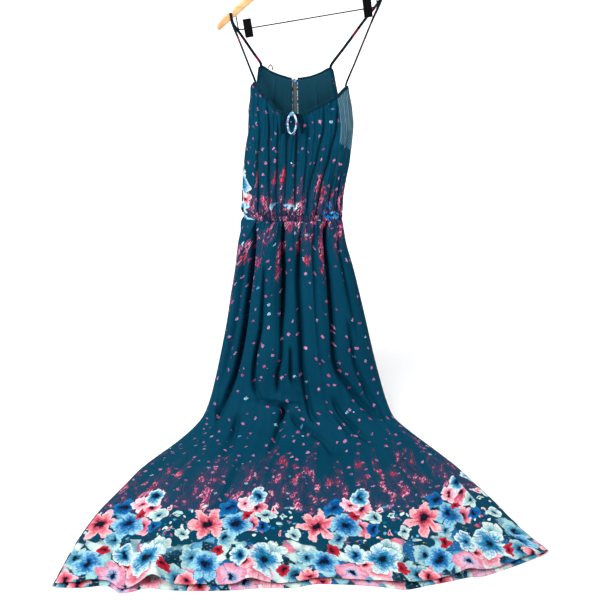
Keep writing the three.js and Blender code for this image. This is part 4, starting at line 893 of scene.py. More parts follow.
def flower_group():
    """One flower of a repeat: its place, size, petals and colours come in, its colour and its mask go out."""
    tree = bpy.data.node_groups.new("Flower", "ShaderNodeTree")
    for way, kind, names in (
            ("INPUT", "Float", ("U", "V", "Grain", *FLOWER_NUMBERS)),
            ("INPUT", "Color", ("Outer", "Middle", "Inner")),
            ("OUTPUT", "Color", ("Color",)),
            ("OUTPUT", "Float", ("Mask",))):
        for name in names:
            tree.interface.new_socket(name, in_out=way, socket_type="NodeSocket" + kind)
    n = Nodes(tree)
    given = n.add("NodeGroupInput").outputs
    out = n.add("NodeGroupOutput").inputs
    across = n.math("WRAP", n.minus(given["U"], given["Centre U"]), REPEAT / 2, -REPEAT / 2)
    up = n.minus(given["V"], given["Centre V"])
    x = n.plus(n.times(across, given["Cos"]), n.times(up, given["Sin"]))
    y = n.minus(n.times(up, given["Cos"]), n.times(across, given["Sin"]))
    y = n.over(y, given["Squash"])
    length = n.math("SQRT", n.plus(n.times(x, x), n.times(y, y)))
    radius = n.scaled(given["Grain"], 0.22, n.over(length, given["Radius"]))
    angle = n.times(n.math("ARCTAN2", y, x), given["Petals"])
    angle = n.scaled(given["Grain"], 0.7, angle)
    lobe = n.absolute(n.math("COSINE", n.times(angle, 0.5)))
    edge = n.times(given["Depth"], n.math("POWER", lobe, given["Point"]))
    edge = n.plus(edge, n.minus(1.0, given["Depth"]))
    reach = n.over(radius, edge)
    bleed = n.scaled(given["Grain"], 0.8, reach)
    tint = n.mix(n.step(bleed, 0.42, 0.98), given["Middle"], given["Outer"])
    tint = n.mix(n.step(reach, 0.52, 0.12), tint, given["Inner"])
    streak = n.sine(n.scaled(given["Grain"], 9.0, n.times(angle, 5.0)))
    tint = n.mix(n.scaled(streak, 0.16, 0.16), tint, given["Inner"])
    between = n.times(n.step(lobe, 0.26, 0.04), 0.65)
    tint = n.mix(between, tint, given["Inner"])
    stamens = n.times(n.step(n.sine(n.times(angle, 2.0)), 0.2, 0.7), 0.9)
    tint = n.mix(n.times(stamens, n.step(radius, 0.3, 0.24)), tint, FLOWER_CENTRE)
    tint = n.mix(n.step(radius, 0.2, 0.15), tint, FLOWER_CENTRE)
    n.give(out["Color"], tint)
    n.give(out["Mask"], n.step(reach, 1.03, 0.97))
    return tree


FLOWER = flower_group()
NEXT_TO_NOTHING = 1e-8


def add_flowers(n, u, v, grain, tint, flowers):
    """Flowers one over another. Each place leans by next to nothing on the flower before it, which makes the
    renderer work through them in turn and keeps its memory small."""
    for centre_u, centre_v, radius, turn, *form, palette in flowers:
        turn = math.radians(turn)
        numbers = (centre_u, centre_v, radius, math.cos(turn), math.sin(turn), *form)
        inputs = {"U": u, "V": v, "Grain": grain, **dict(zip(FLOWER_NUMBERS, numbers))}
        inputs.update(zip(("Outer", "Middle", "Inner"), [colour(*value) for value in PALETTES[palette]]))
        flower = n.add("ShaderNodeGroup", inputs, node_tree=FLOWER).outputs
        tint = n.mix(flower["Mask"], tint, flower["Color"])
        u = n.scaled(flower["Mask"], NEXT_TO_NOTHING, u)
    return tint


# Flat bands of colour, each from the value at which it starts
RAMPS = {
    "twigs": [(0.0, (60, 44, 86)), (0.42, (92, 40, 84)), (0.52, (132, 42, 82)), (0.62, (170, 64, 104))],
    "pink leaves": [(0.0, (188, 78, 118)), (0.3, (210, 120, 148)), (0.52, (142, 46, 92)),
                    (0.78, (216, 150, 170))],
    "red leaves": [(0.0, (164, 34, 62)), (0.4, (204, 66, 80)), (0.7, (108, 26, 62))],
    "petals": [(0.0, (196, 124, 164)), (0.42, (176, 88, 134)), (0.7, (214, 156, 190)), (0.9, (158, 206, 220)),
               (0.96, (70, 150, 196))],
    "specks": [(0.0, (196, 88, 130)), (0.5, (156, 60, 104)), (0.88, (170, 208, 222))],
    "border leaves": [(0.0, (140, 188, 190)), (0.16, (3, 40, 56)), (0.33, (200, 214, 206)),
                      (0.45, (80, 144, 176)), (0.56, (20, 88, 140)), (0.65, (204, 112, 134)),
                      (0.74, (3, 42, 58)), (0.87, (176, 202, 198))],
    "border petals": [(0.0, (170, 206, 204)), (0.3, (206, 218, 210)), (0.45, (16, 100, 160)),
                      (0.6, (188, 84, 112)), (0.74, (150, 36, 60)), (0.84, (92, 156, 190))],
    "waist flowers": [(0.0, (70, 160, 214)), (0.3, (214, 232, 240)), (0.5, (28, 110, 180)),
                      (0.7, (150, 206, 226))],
    "tie": [(0.0, (20, 70, 124)), (0.38, (90, 152, 194)), (0.46, (196, 214, 224)), (0.52, (96, 154, 194)),
            (0.58, (186, 88, 126)), (0.64, (18, 32, 70))],
}


def ramp(n, value, name):
    stops = RAMPS[name]
    node = n.add("ShaderNodeValToRGB", {0: value})
    node.color_ramp.interpolation = "CONSTANT"
    elements = node.color_ramp.elements
    while len(elements) < len(stops):
        elements.new(0.5)
    for element, (start, tint) in zip(elements, stops):
        element.position = start
        element.color = colour(*tint)
    return node.outputs[0]


# Spread and start of a petal's turn, in radians
UPRIGHT = (1.7, 0.72)
ANY_WAY = (6.28, 0.0)
# Scattered petals: spacing, half length, half width and the share of cells that have one
PETALS = (0.032, 0.0040, 0.0030, 0.7)
SPECKS = (0.024, 0.0022, 0.0013, 0.16)
WAIST_PETALS = (0.056, 0.0220, 0.0088, 0.62)
SPRAY_LEAVES = ((0.0066, 0.0054, 0.0014, 0.96), (0.0093, 0.0054 * 1.35, 0.0014 * 1.35, 0.96))
BORDER_PETALS = ((0.013, 0.0046, 0.0026, 0.5), (0.021, 0.0046 * 1.6, 0.0026 * 1.6, 0.34))


def scatter(n, place, spacing, long_half, short_half, keep, lobed=False, upright=False):
    """Loose petals, one to a cell at most: mask, two random numbers and the distance from the middle."""
    cells = n.cells(place, 1 / spacing, 0.85)
    offset = n.add("ShaderNodeVectorMath", {0: place, 1: cells["Position"]}, operation="SUBTRACT").outputs[0]
    random = n.parts(cells["Color"])
    spread, start = UPRIGHT if upright else ANY_WAY
    turn = {"Vector": offset, "Angle": n.scaled(random[0], spread, start)}
    x, y, _ = n.parts(n.add("ShaderNodeVectorRotate", turn, rotation_type="Z_AXIS").outputs[0])
    if lobed:
        x = n.minus(n.absolute(x), long_half * 0.45)
        long_half = long_half * 0.6
    shape = n.join(n.over(x, long_half), n.over(y, short_half))
    far = n.add("ShaderNodeVectorMath", {0: shape}, operation="LENGTH").outputs["Value"]
    size = n.scaled(random[2], 0.5, 0.65)
    mask = n.times(n.step(n.over(far, size), 1.05, 0.85), n.step(random[1], keep + 0.01, keep - 0.01))
    return mask, random[2], random[0], far


WAIST_LINE = SKIRT_LENGTH * MM
PRINT_TEAL = colour(1, 61, 84)
PRINT_DEEP = colour(1, 50, 71)
# Scales of the noise that shades the ground, bends sprays and roughens petals
GROUND_SCALE = 9
WANDER_SCALE = 17
GRAIN_SCALE = 170
STRIPES_PER_METRE = 1150.0
PRINT_ROUGHNESS = 0.72
BAND_ROUGHNESS = 0.7


def envelope(n, value, start, full, fade, end):
    """0 outside start and end, 1 between full and fade."""
    return n.times(n.step(value, start, full), n.step(value, end, fade))


TWIG_SLOPE = 1.9
TWIGS_PER_METRE = 560.0


def plumes(n, u, t, wander, spacing, length, seed):
    """Sprays side by side, t from their foot: how near a spray is, how far up it, and its twigs and stem."""
    moved = n.plus(u, seed * 0.137)
    cell = n.math("FLOOR", n.over(moved, spacing))
    noise = n.add("ShaderNodeTexWhiteNoise", {"W": n.plus(cell, seed * 7.3)}, noise_dimensions="1D")
    random = n.parts(noise.outputs["Color"])
    centre = n.times(n.plus(cell, n.scaled(random[0], 0.4, 0.3)), spacing)
    lean = n.times(n.minus(random[1], 0.5), 0.34)
    x = n.minus(n.minus(moved, centre), n.times(t, lean))
    x = n.absolute(n.scaled(wander, 0.016, x))
    share = n.over(t, n.times(n.scaled(random[2], 0.5, 0.5), length))
    along = envelope(n, share, -0.02, 0.03, 0.8, 1.05)
    width = n.times(n.scaled(share, -0.2, 0.4), spacing)
    near = n.times(n.step(n.over(x, width), 1.15, 0.3), along)
    branch = n.sine(n.scaled(wander, 16.0, n.times(n.scaled(x, -TWIG_SLOPE, t), TWIGS_PER_METRE)))
    branch = n.times(n.step(branch, 0.68, 0.92), n.step(n.over(x, width), 1.4, 1.0))
    stem = n.step(x, 0.0014, 0.0007)
    return near, share, n.times(n.larger(branch, stem), along)


# Beds of sprays: where their feet are, the way they grow, spacing, length and a number of their own
SPRAYS_FOOT = 0.2
HEM_BEDS = [(SPRAYS_FOOT, 1, 0.052, 0.30, 5), (SPRAYS_FOOT, 1, 0.074, 0.24, 6)]
BEDS = {
    "bodice": [(WAIST_LINE - 0.004, 1, 0.040, 0.15, 1), (WAIST_LINE - 0.004, 1, 0.056, 0.12, 2)],
    "skirt": [(WAIST_LINE, -1, 0.043, 0.20, 3), (WAIST_LINE, -1, 0.060, 0.13, 4), *HEM_BEDS],
    "border": HEM_BEDS,
}


def add_sprays(n, u, v, place, wander, tint, beds):
    """Twigs with small leaves and blossoms."""
    breaks = n.noise(place, 230, 1)
    clumps = n.noise(n.join(u, n.times(v, 0.55)), 46, 1)
    near, twigs, share = 0.0, 0.0, 0.0
    spread = n.over(0.39, n.scaled(v, -0.42, 0.47))
    fanned = n.times(u, n.math("MINIMUM", spread, 1.6))
    for foot, way, spacing, length, seed in beds:
        t = n.times(n.minus(v, foot), way)
        across = fanned if foot == SPRAYS_FOOT else u
        here, up, lines = plumes(n, across, t, wander, spacing, length, seed)
        v = n.scaled(lines, NEXT_TO_NOTHING, v)
        share = n.larger(share, n.times(up, n.step(here, 0.0, 0.1)))
        near = n.larger(near, here)
        twigs = n.larger(twigs, lines)
    twigs = n.times(twigs, n.step(breaks, 0.38, 0.5))
    tint = n.mix(n.times(twigs, 0.72), tint, ramp(n, clumps, "twigs"))
    sparser = n.scaled(n.step(v, 0.75, 0.55), -0.06, clumps)
    fill = n.times(near, n.step(sparser, 0.46, 0.58))
    for leaves in SPRAY_LEAVES:
        mask, shade, turn, _ = scatter(n, place, *leaves, upright=True)
        mask = n.times(mask, n.step(n.scaled(shade, -0.62, fill), 0.06, 0.12))
        red = n.step(n.scaled(shade, 0.4, share), 0.75, 0.95)
        tint = n.mix(mask, tint, n.mix(red, ramp(n, turn, "pink leaves"), ramp(n, turn, "red leaves")))
    return tint


def add_petals(n, v, place, grain, tint):
    """Loose petals all over, but for the dense border."""
    clear = n.step(v, 0.1, 0.2)
    place = n.moved(place, n.times(grain, 0.011), -0.8)
    mask, _, turn, far = scatter(n, place, *PETALS, lobed=True)
    petal = n.mix(n.step(far, 0.62, 0.25), ramp(n, turn, "petals"), colour(96, 34, 84))
    tint = n.mix(n.times(mask, clear), tint, petal)
    mask, _, turn, _ = scatter(n, place, *SPECKS)
    return n.mix(n.times(mask, clear), tint, ramp(n, turn, "specks"))


def add_border(n, u, v, grain, wander, tint):
    """The dense border: pale leaf forms with charted flowers over them."""
    v = n.over(v, STRETCH)
    place = n.join(n.scaled(wander, 0.01, u), n.scaled(grain, 0.005, v))
    cells = n.cells(place, 46.0, 0.95)
    leaf = ramp(n, n.parts(cells["Color"])[0], "border leaves")
    shade = n.step(cells["Distance"], 0.2, 0.75)
    leaf = n.mix(n.times(shade, 0.6), leaf, colour(16, 74, 108))
    leaf = n.mix(n.step(grain, 0.06, 0.36), leaf, colour(214, 226, 222))
    height = n.scaled(wander, 0.12, 0.086)
    tint = n.mix(n.step(n.minus(height, v), 0.0, 0.004), tint, leaf)
    for petals in BORDER_PETALS:
        mask, _, turn, _ = scatter(n, place, *petals)
        bed = n.times(n.step(v, 0.08, 0.094), n.step(n.scaled(wander, 0.16, v), 0.185, 0.165))
        shown = n.times(n.times(mask, bed), n.step(wander, -0.06, 0.0))
        tint = n.mix(shown, tint, ramp(n, turn, "border petals"))
        v = n.scaled(mask, NEXT_TO_NOTHING, v)
    return add_flowers(n, *bend(n, n.join(u, v), u, v), grain, tint, FLOWERS)


def bend(n, place, *values):
    """Places pushed about a little, so that no two petals are alike."""
    push = n.parts(n.noise(place, 48, 1.5, output="Color"))
    return [n.scaled(n.minus(push[i], 0.5), 0.026, value) for i, value in enumerate(values)]


def add_waist_flowers(n, v, place, grain, tint):
    """Blue and white flowers in the folds at the elastic."""
    place = n.moved(place, n.times(grain, 0.016), -0.7)
    mask, _, turn, far = scatter(n, place, *WAIST_PETALS, lobed=True)
    at_waist = n.step(n.absolute(n.minus(v, WAIST_LINE + 0.016)), 0.034, 0.02)
    petal = n.mix(n.step(far, 0.55, 0.2), ramp(n, turn, "waist flowers"), colour(12, 66, 128))
    return n.mix(n.times(mask, at_waist), tint, petal)


def print_material(name, kind, beside=None, sheer=False):
    """The printed cloth: one kind for each part of the dress, since one material for all is too large."""
    material, n, surface = node_material(name)
    place = n.cloth()
    u, v, _ = n.parts(place)
    wander = n.minus(n.noise(place, WANDER_SCALE, 2), 0.5)
    grain = n.minus(n.noise(place, GRAIN_SCALE, 2, 0.6), 0.5)
    tint = n.mix(n.noise(place, GROUND_SCALE, 3), PRINT_DEEP, PRINT_TEAL)
    tint = add_petals(n, v, place, grain, tint)
    tint = add_sprays(n, u, v, place, wander, tint, BEDS[kind])
    if beside is not None:
        flowers = add_flowers(n, *bend(n, place, u, n.minus(v, WAIST_LINE - 0.02)), grain, tint, beside)
        tint = n.mix(n.step(n.marked("border"), 0.45, 0.55), tint, flowers)
    if kind == "border":
        tint = add_border(n, u, v, grain, wander, tint)
    else:
        tint = add_waist_flowers(n, v, place, grain, tint)
    # Painted light: where the front has no lining, pale and darker stripes stand for light from behind
    # shining through the sheer gathers, and the alpha lets a little real light through as well
    if sheer:
        bare = n.marked("unlined")
        stripe = n.scaled(n.sine(n.scaled(wander, 9.0, n.times(u, STRIPES_PER_METRE))), 0.5, 0.5)
        painted_backlight = n.mix(stripe, colour(20, 66, 86), colour(94, 136, 152))
        tint = n.mix(n.times(bare, 0.85), tint, painted_backlight)
        n.give(surface["Alpha"], n.minus(1.0, n.times(bare, n.scaled(stripe, 0.08, 0.1))))
    finish_cloth(n, surface, place, tint, PRINT_ROUGHNESS)
    return material


SIDE_FLOWERS = [
    (0.166, 0.044, 0.022, 10, 5, 0.25, 0.5, 0.9, "pansy"),
    (0.150, 0.150, 0.018, 30, 4, 0.4, 0.8, 0.9, "white"),
    (0.152, 0.074, 0.02, 20, 5, 0.3, 0.5, 0.9, "coral"),
    (0.158, 0.112, 0.034, 50, 5, 0.28, 0.5, 0.9, "pansy"),
    (0.150, -0.014, 0.026, 10, 5, 0.25, 0.5, 0.9, "pansy"),
    (0.158, -0.070, 0.026, 40, 5, 0.25, 0.5, 0.9, "coral"),
]
hem_print = print_material("Printed chiffon, border", "border")
skirt_print = print_material("Printed chiffon, skirt", "skirt")
bodice_print = print_material("Printed chiffon, bodice", "bodice", sheer=True)
back_print = print_material("Printed chiffon, back", "bodice", beside=SIDE_FLOWERS)
lining = plain_cloth("Plain lining", colour(18, 60, 76))
binding = plain_cloth("Binding", colour(8, 46, 60), darker=0.7)
dark_binding = plain_cloth("Dark binding", colour(5, 26, 38), darker=0.7)
loop_cloth = plain_cloth("Loop cloth", colour(96, 18, 38), darker=0.6)
wire_surface = plain_cloth("Dark wire", colour(30, 30, 33), 0.35)
clip_surface = plain_cloth("Black clip", colour(12, 12, 14), 0.4)
# Grey cloth for the sheet behind the slit: painted shade of the gap seen through it
slit_shade_cloth = plain_cloth("Painted slit shade", colour(84, 92, 84))


def strap_material():
    material, n, surface = node_material("Strap cloth")
    place = n.cloth()
    tint = n.mix(n.step(n.noise(place, 26, 1), 0.56, 0.64), colour(10, 24, 32), colour(112, 22, 44))
    finish_cloth(n, surface, place, tint, BAND_ROUGHNESS)
    return material


def tie_material():
    material, n, surface = node_material("Tie print")
    place = n.cloth()
    finish_cloth(n, surface, place, ramp(n, n.noise(place, 75, 1), "tie"), BAND_ROUGHNESS)
    return material


def wood_material():
    material, n, surface = node_material("Varnished wood")
    place = n.add("ShaderNodeTexCoord").outputs["Object"]
    along = {"Vector": place, "Rotation": (0.0, HANGER_TILT, 0.0), "Scale": (6.0, 60.0, 60.0)}
    rings = n.noise(n.add("ShaderNodeMapping", along).outputs[0], 1.6, 4, 0.6)
    tint = n.mix(n.step(rings, 0.35, 0.65), colour(196, 142, 88), colour(224, 178, 124))
    values = {"Base Color": tint, "Roughness": 0.38, "Coat Weight": 0.35, "Coat Roughness": 0.2}
    for name, value in values.items():
        n.give(surface[name], value)
    return material


strap_cloth = strap_material()
tie_print = tie_material()
wood_surface = wood_material()


def mark(piece, name, values):
    """Keeps one number for each vertex of a piece, for its material to read."""
    attribute = piece.data.attributes.new(name, "FLOAT", "POINT")
    attribute.data.foreach_set("value", np.asarray(values, np.float32).ravel())


# Skirt pieces
BORDER_HEIGHT = 310


def skirt_sheet(name, node, half):
    points, outward, flat = skirt_panel(half)
    piece = thicken(grid_mesh(name, points, flat, outward, skirt_print), CLOTH)
    piece.data.materials.append(hem_print)
    in_border = flat[:-1, :-1, 1].ravel() < BORDER_HEIGHT
    piece.data.polygons.foreach_set("material_index", in_border.astype(np.int32))
    return placed(piece, node)


skirt_front = skirt_sheet("Skirt front", "skirt_front", 1)
skirt_back = skirt_sheet("Skirt back", "skirt_back", -1)

# Bodice pieces; steps are the columns of a panel from each of its corners to the next
SIDES = (("left", -1), ("right", 1))
WAIST_V = SKIRT_LENGTH + WAIST_HEIGHT
FRONT_STEPS = (22, 209, 20)
FRONT_CORNERS = {-1: FRONT_STEPS[0], 1: FRONT_STEPS[0] + FRONT_STEPS[1]}
BACK_STEPS = (59, 29)
BACK_CORNER = BACK_STEPS[0]
SLIT_PULL_REACH = 0.2
SLIT_CLOSED = 0.15
SLIT_OPEN = SLIT_HALF_WIDTH + SLIT_BAND + 0.3
# Height over the lining and share of the half ring over which the front turns sheer
UNLINED_RISE = 5
UNLINED_SHARE = (0.63, 0.655)
SIDE_FLOWERS_X = (-70, -78)
# How far a lining lies inside the outer cloth at its upper edge, and how much further below it
LINING_INSET = 2.4
LOWER_LINING_INSET = 1.2


def columns_through(places, steps):
    """Columns in even steps from each of the places to the next."""
    spans = zip(places, places[1:], steps)
    columns = [np.linspace(start, end, count + 1)[:-1] for start, end, count in spans]
    return np.concatenate([*columns, [places[-1]]])


def bodice_sheet(name, node, half, tops, edge, out, folds, material, slot, shift=None):
    liveliness = LINING_LIVELINESS if slot == "lining_cloth" else 1
    points, outward = bodice_panel(half, tops, edge, out, folds, shift, liveliness)
    flat = flat_places(points, WAIST_V, len(tops) // 2)
    piece = thicken(grid_mesh(name, points, flat, outward, material), CLOTH)
    return placed(piece, node), points, outward


def no_inset(share):
    return 0 * share


def lining_inset(share):
    return -LINING_INSET - LOWER_LINING_INSET * (1 - smooth(0.86, 1, share))


def slit_shift(side, tops):
    """Moves the columns beside the slit away from its middle, further above its end."""
    near = np.maximum(0, 1 - np.abs(tops - SLIT_ACROSS) / SLIT_PULL_REACH)

    def shift(z):
        opened = smooth(SLIT_END_Z, SLIT_END_Z + SLIT_EASE, z)
        return side * (SLIT_CLOSED + opened * SLIT_OPEN) / HALF_ARC * near
    return shift


front_tops = columns_through((-1, CORNERS["front"][-1], CORNERS["front"][1], 1), FRONT_STEPS)
bodice_front, front_points, front_out = bodice_sheet(
    "Bodice front", "bodice_front", 1, front_tops, FRONT_EDGE, no_inset, BODICE_FOLDS, bodice_print,
    "printed_cloth")
above_lining = front_points[..., 2] - follow(LINING_EDGE, "across", "z", front_tops)
mark(bodice_front, "unlined", smooth(0, UNLINED_RISE, above_lining) * smooth(*UNLINED_SHARE, front_tops))
back_sheets = {}
for side_name, side in SIDES:
    tops = columns_through((SLIT_ACROSS, CORNERS["back"][side], side), BACK_STEPS)[::side]
    piece, points, outward = bodice_sheet(
        f"Bodice back {side_name}", f"bodice_back_{side_name}", -1, tops, BACK_EDGE, no_inset,
        BACK_BODICE_FOLDS, back_print, "printed_cloth", slit_shift(side, tops))
    mark(piece, "border", smooth(*SIDE_FLOWERS_X, points[..., 0]) * (side < 0))
    back_sheets[side_name] = {"piece": piece, "points": points[:, ::side], "outward": outward[:, ::side]}

# Linings
LINING_SIDE = 0.94
BACK_LINING_SIDE = 0.93
BACK_LINING_STEPS = (49, 23)
BACK_LINING_CORNER = 0.92
BACK_LINING_WIDTH = 1.05
BACK_LINING_DROP = 0.9
BACK_LINING_SIDE_DROP = 6
BACK_LINING_EDGE = {
    "across": BACK_EDGE["across"] / BACK_LINING_WIDTH,
    "z": (BACK_EDGE["z"] - BACK_LINING_DROP
          - BACK_LINING_SIDE_DROP * smooth(0.3, 0.9, np.abs(BACK_EDGE["across"]))),
}
lining_front, *_ = bodice_sheet(
    "Front lining", "lining_front", 1, np.linspace(-LINING_SIDE, LINING_SIDE, 161), LINING_EDGE, lining_inset,
    BODICE_FOLDS, lining, "lining_cloth")
lining_backs = {}
for side_name, side in SIDES:
    places = (SLIT_ACROSS, CORNERS["back"][side] * BACK_LINING_CORNER, side * BACK_LINING_SIDE)
    tops = columns_through(places, BACK_LINING_STEPS)[::side]
    lining_backs[side_name], *_ = bodice_sheet(
        f"Back lining {side_name}", f"lining_back_{side_name}", -1, tops, BACK_LINING_EDGE, lining_inset,
        BACK_BODICE_FOLDS, lining, "lining_cloth", slit_shift(side, tops))

# Waist casing
CASING_GRID = (9, 901)
CASING_OVERLAP = 0.6
CASING_ROLL = 0.5
CASING_INSET = 0.4
CASING_FLAT_ENDS = 0.97
PLEATS = 58
PLEAT_SHIFT = 0.35
PLEAT_SLANT = 0.008
PLEAT_HEIGHT = (1.5, 4.6)
PLEAT_WIDTH = (0.006, 0.012)


def waist_casing(name, node, half):
    rows, columns = CASING_GRID
    tops = np.linspace(-1, 1, columns)
    left, right = (follow(BODICE_SEAMS, "z", side, WAIST_TOP_Z) for side in ("left", "right"))
    position = np.broadcast_to(tops * (1 - half * np.where(tops < 0, left, right)), CASING_GRID)
    up = np.broadcast_to(np.linspace(-1, 1, rows)[:, None], CASING_GRID)
    near = 1 - smooth(CASING_FLAT_ENDS, 1, np.abs(tops))
    random = np.random.RandomState(SEED + 20 + half)
    out = np.zeros(CASING_GRID)
    for centre in np.linspace(-1, 1, PLEATS) + random.uniform(-PLEAT_SHIFT, PLEAT_SHIFT, PLEATS) * 2 / PLEATS:
        slant = random.uniform(-PLEAT_SLANT, PLEAT_SLANT)
        height = random.uniform(*PLEAT_HEIGHT)
        width = random.uniform(*PLEAT_WIDTH)
        out += height * np.exp(-((position - centre - slant * up) / width) ** 2)
    out += CASING_ROLL * (1 - up ** 2) - CASING_INSET
    points, outward = bodice_points(half, position, np.full(CASING_GRID, float(WAIST_TOP_Z)), out * near)
    points[..., 2] = WAIST_TOP_Z - WAIST_HEIGHT / 2 + up * (WAIST_HEIGHT / 2 + CASING_OVERLAP)
    flat = flat_places(points, SKIRT_LENGTH, columns // 2)
    return placed(thicken(grid_mesh(name, points, flat, outward, back_print), CLOTH), node)


casing_front = waist_casing("Waist casing front", "waist_casing_front", 1)
casing_back = waist_casing("Waist casing back", "waist_casing_back", -1)

# Bindings, each with its height and thickness
NECK_FRONT_BINDING = (8, 3)
NECK_BACK_BINDING = (5, 3)
ARM_BINDING = (3.6, 2.6)
SLIT_BINDING = (2.6, 2.4)
SLIT_ROWS = slice(int(len(BODICE_ROWS) * 0.61), None)


def bind(name, node, points, normals, size, towards=UP, material=binding):
    placed(edge_band(name, points, normals, towards, *size, material), node)


front_neck = slice(FRONT_CORNERS[-1], FRONT_CORNERS[1] + 1)
bind("Neck binding front", "binding_neck_front", front_points[-1, front_neck], front_out[-1, front_neck],
     NECK_FRONT_BINDING)
for side_name, side in SIDES:
    points, outward = back_sheets[side_name]["points"], back_sheets[side_name]["outward"]
    back_neck = slice(0, BACK_CORNER + 1)
    bind(f"Neck binding back {side_name}", f"binding_neck_back_{side_name}", points[-1, back_neck],
         outward[-1, back_neck], NECK_BACK_BINDING)
    front_arm, back_arm = slice(FRONT_CORNERS[side], None, side), slice(None, BACK_CORNER - 1, -1)
    path, path_out = (np.concatenate([front[-1, front_arm][:-1], back[-1, back_arm]])
                      for front, back in ((front_points, points), (front_out, outward)))
    bind(f"Arm binding {side_name}", f"binding_arm_{side_name}", path, path_out, ARM_BINDING)
    bind(f"Slit binding {side_name}", f"binding_slit_{side_name}", points[SLIT_ROWS, 0],
         outward[SLIT_ROWS, 0], SLIT_BINDING, np.array([-side, 0.0, 0.0]), tie_print)

# Painted shade behind the slit: a grey sheet between the same column of both backs stands in for the shaded
# gap seen through it
SLIT_SHADE_PLACE = (slice(int(len(BODICE_ROWS) * 0.53), None), 5)
SLIT_SHADE_LIFT = 2.4
SLIT_SHADE_COLUMNS = 9
SLIT_SHADE_THICKNESS = 0.9
beside = [(back["points"][SLIT_SHADE_PLACE], back["outward"][SLIT_SHADE_PLACE]) for back in back_sheets.values()]
left, right = (points + outward * SLIT_SHADE_LIFT for points, outward in beside)
mix = np.linspace(0, 1, SLIT_SHADE_COLUMNS)[None, :, None]
points = left[:, None] * (1 - mix) + right[:, None] * mix
outward = np.broadcast_to(beside[0][1][:, None], points.shape)
flat = flat_places(points, 0, points.shape[1] // 2)
slit_shade_sheet = thicken(grid_mesh("Slit shade sheet", points, flat, outward, slit_shade_cloth), SLIT_SHADE_THICKNESS)
placed(slit_shade_sheet, "slit_placket")


# Button, loops and tie
def edge_point(half, edge, across):
    """A place on an upper edge of the bodice's smooth form, and the outward direction there."""
    across = np.array([across])
    points, outward = bodice_points(half, across, follow(edge, "across", "z", across), 0)
    return points[0], outward[0]


# Radius and depth of the button's rings, from its front to its back
BUTTON_RINGS = np.array([(0.2, -1.5), (2.6, -1.5), (3.2, -1.2), (4, 0.6), (3.9, 1.2), (3.3, 1.5), (2.4, 1.1),
                         (1, 0.9), (0.2, 0.9)])
BUTTON_INSIDE = 4.25
BUTTON_DROP = 2
NECK_LOOP_ACROSS = -0.53
NECK_LOOP_STEPS = 36
NECK_LOOP_SIZE = (3.4, 2.6)
NECK_LOOP_FOOT = (0, 0.7, 7.4)
NECK_LOOP = [(-4, 0, 2.2, 90), (-5, 0, 6, 90), (-1, 0, 11, 90), (4, 0, 5, 90), (4, 0, -1.4, 90)]
TIE_ACROSS = -0.13
TIE_X = -10
TIE_Z = -404.5
TIE_FORWARD = 5.45
TIE_LOOPS = {
    "left": [(-5.5, -2, 1, -10), (-13, -5, -4, -10), (-19, -7, -18, -8), (-21, -7, -36, -6),
             (-21, -5, -45, -4), (-21, -2.4, -40, -4), (-20, -2, -22, -4), (-15, -1.6, -9, -4),
             (-9, 0, -3.5, -4)],
    "right": [(5.3, -2, 1, 10), (15, -5, -3, 10), (22, -7, -17, 8), (24, -7, -34, 6), (24, -5, -44, 4),
              (24, -2.4, -38, 4), (22, -2, -20, 4), (16, -1.6, -8, 4), (9, 0, -3, 4)],
    "centre": [(-4, -6.2, 0, 8), (-9, -9.3, -10, 8), (-10, -10, -27, 10), (-8, -10, -39, 20),
               (-1, -10, -45, 60), (6, -10, -38, 20), (10, -10, -26, -8), (9, -9, -10, -10),
               (4, -6, 0, -10)],
}
TIE_RIBBONS = {
    "left": (6.6, dark_binding, "binding_cloth"),
    "right": (6.6, dark_binding, "binding_cloth"),
    "centre": (4.6, tie_print, "printed_cloth"),
}
TIE_THICKNESS = 1.5
TIE_STEPS = 90
KNOT_HALF = 5
KNOT_ROWS = 17
KNOT_SIZE = (8.4, 10)
KNOT_WRAPS = 9


def moved_rows(rows, foot):
    """Rows of a place and a turn, with foot added to every place."""
    return [(*(value + start for value, start in zip(row, foot)), row[3]) for row in rows]


top, outward = edge_point(-1, BACK_EDGE, SLIT_ACROSS)
radii, depths = BUTTON_RINGS.T
centres = top - outward * BUTTON_INSIDE - UP * BUTTON_DROP - outward * depths[:, None]
sides = lying_along(np.cross(outward, UP), len(radii))
button = loft("Back button", centres, sides, lying_along(UP, len(radii)), 2 * radii, 2 * radii,
              rounded(28, 2), tie_print)
placed(button, "back_button")

foot = edge_point(-1, BACK_EDGE, NECK_LOOP_ACROSS)[0] + NECK_LOOP_FOOT
neck_loop = ribbon("Neck loop", moved_rows(NECK_LOOP, foot), NECK_LOOP_STEPS, *NECK_LOOP_SIZE, loop_cloth)
placed(neck_loop, "neck_loop")

tie_middle = (TIE_X, edge_point(1, FRONT_EDGE, TIE_ACROSS)[0][1] - TIE_FORWARD, TIE_Z)
along = np.linspace(-1, 1, KNOT_ROWS)
girth = np.sqrt(np.maximum(1 - along ** 2, 0.02)) * (1 + 0.1 * np.cos(along * KNOT_WRAPS))
centres = np.array(tie_middle) + along[:, None] * [KNOT_HALF, 0, 0]
knot = loft("Tie knot", centres, lying_along(FORWARD, KNOT_ROWS), lying_along(UP, KNOT_ROWS),
            KNOT_SIZE[0] * girth, KNOT_SIZE[1] * girth, rounded(24, 2.2), tie_print)
placed(knot, "tie_knot")
for side_name, rows in TIE_LOOPS.items():
    width, surface, slot = TIE_RIBBONS[side_name]
    path = moved_rows(rows, tie_middle)
    piece = ribbon(f"Tie loop {side_name}", path, TIE_STEPS, width, TIE_THICKNESS, surface)
    placed(piece, f"tie_loop_{side_name}")

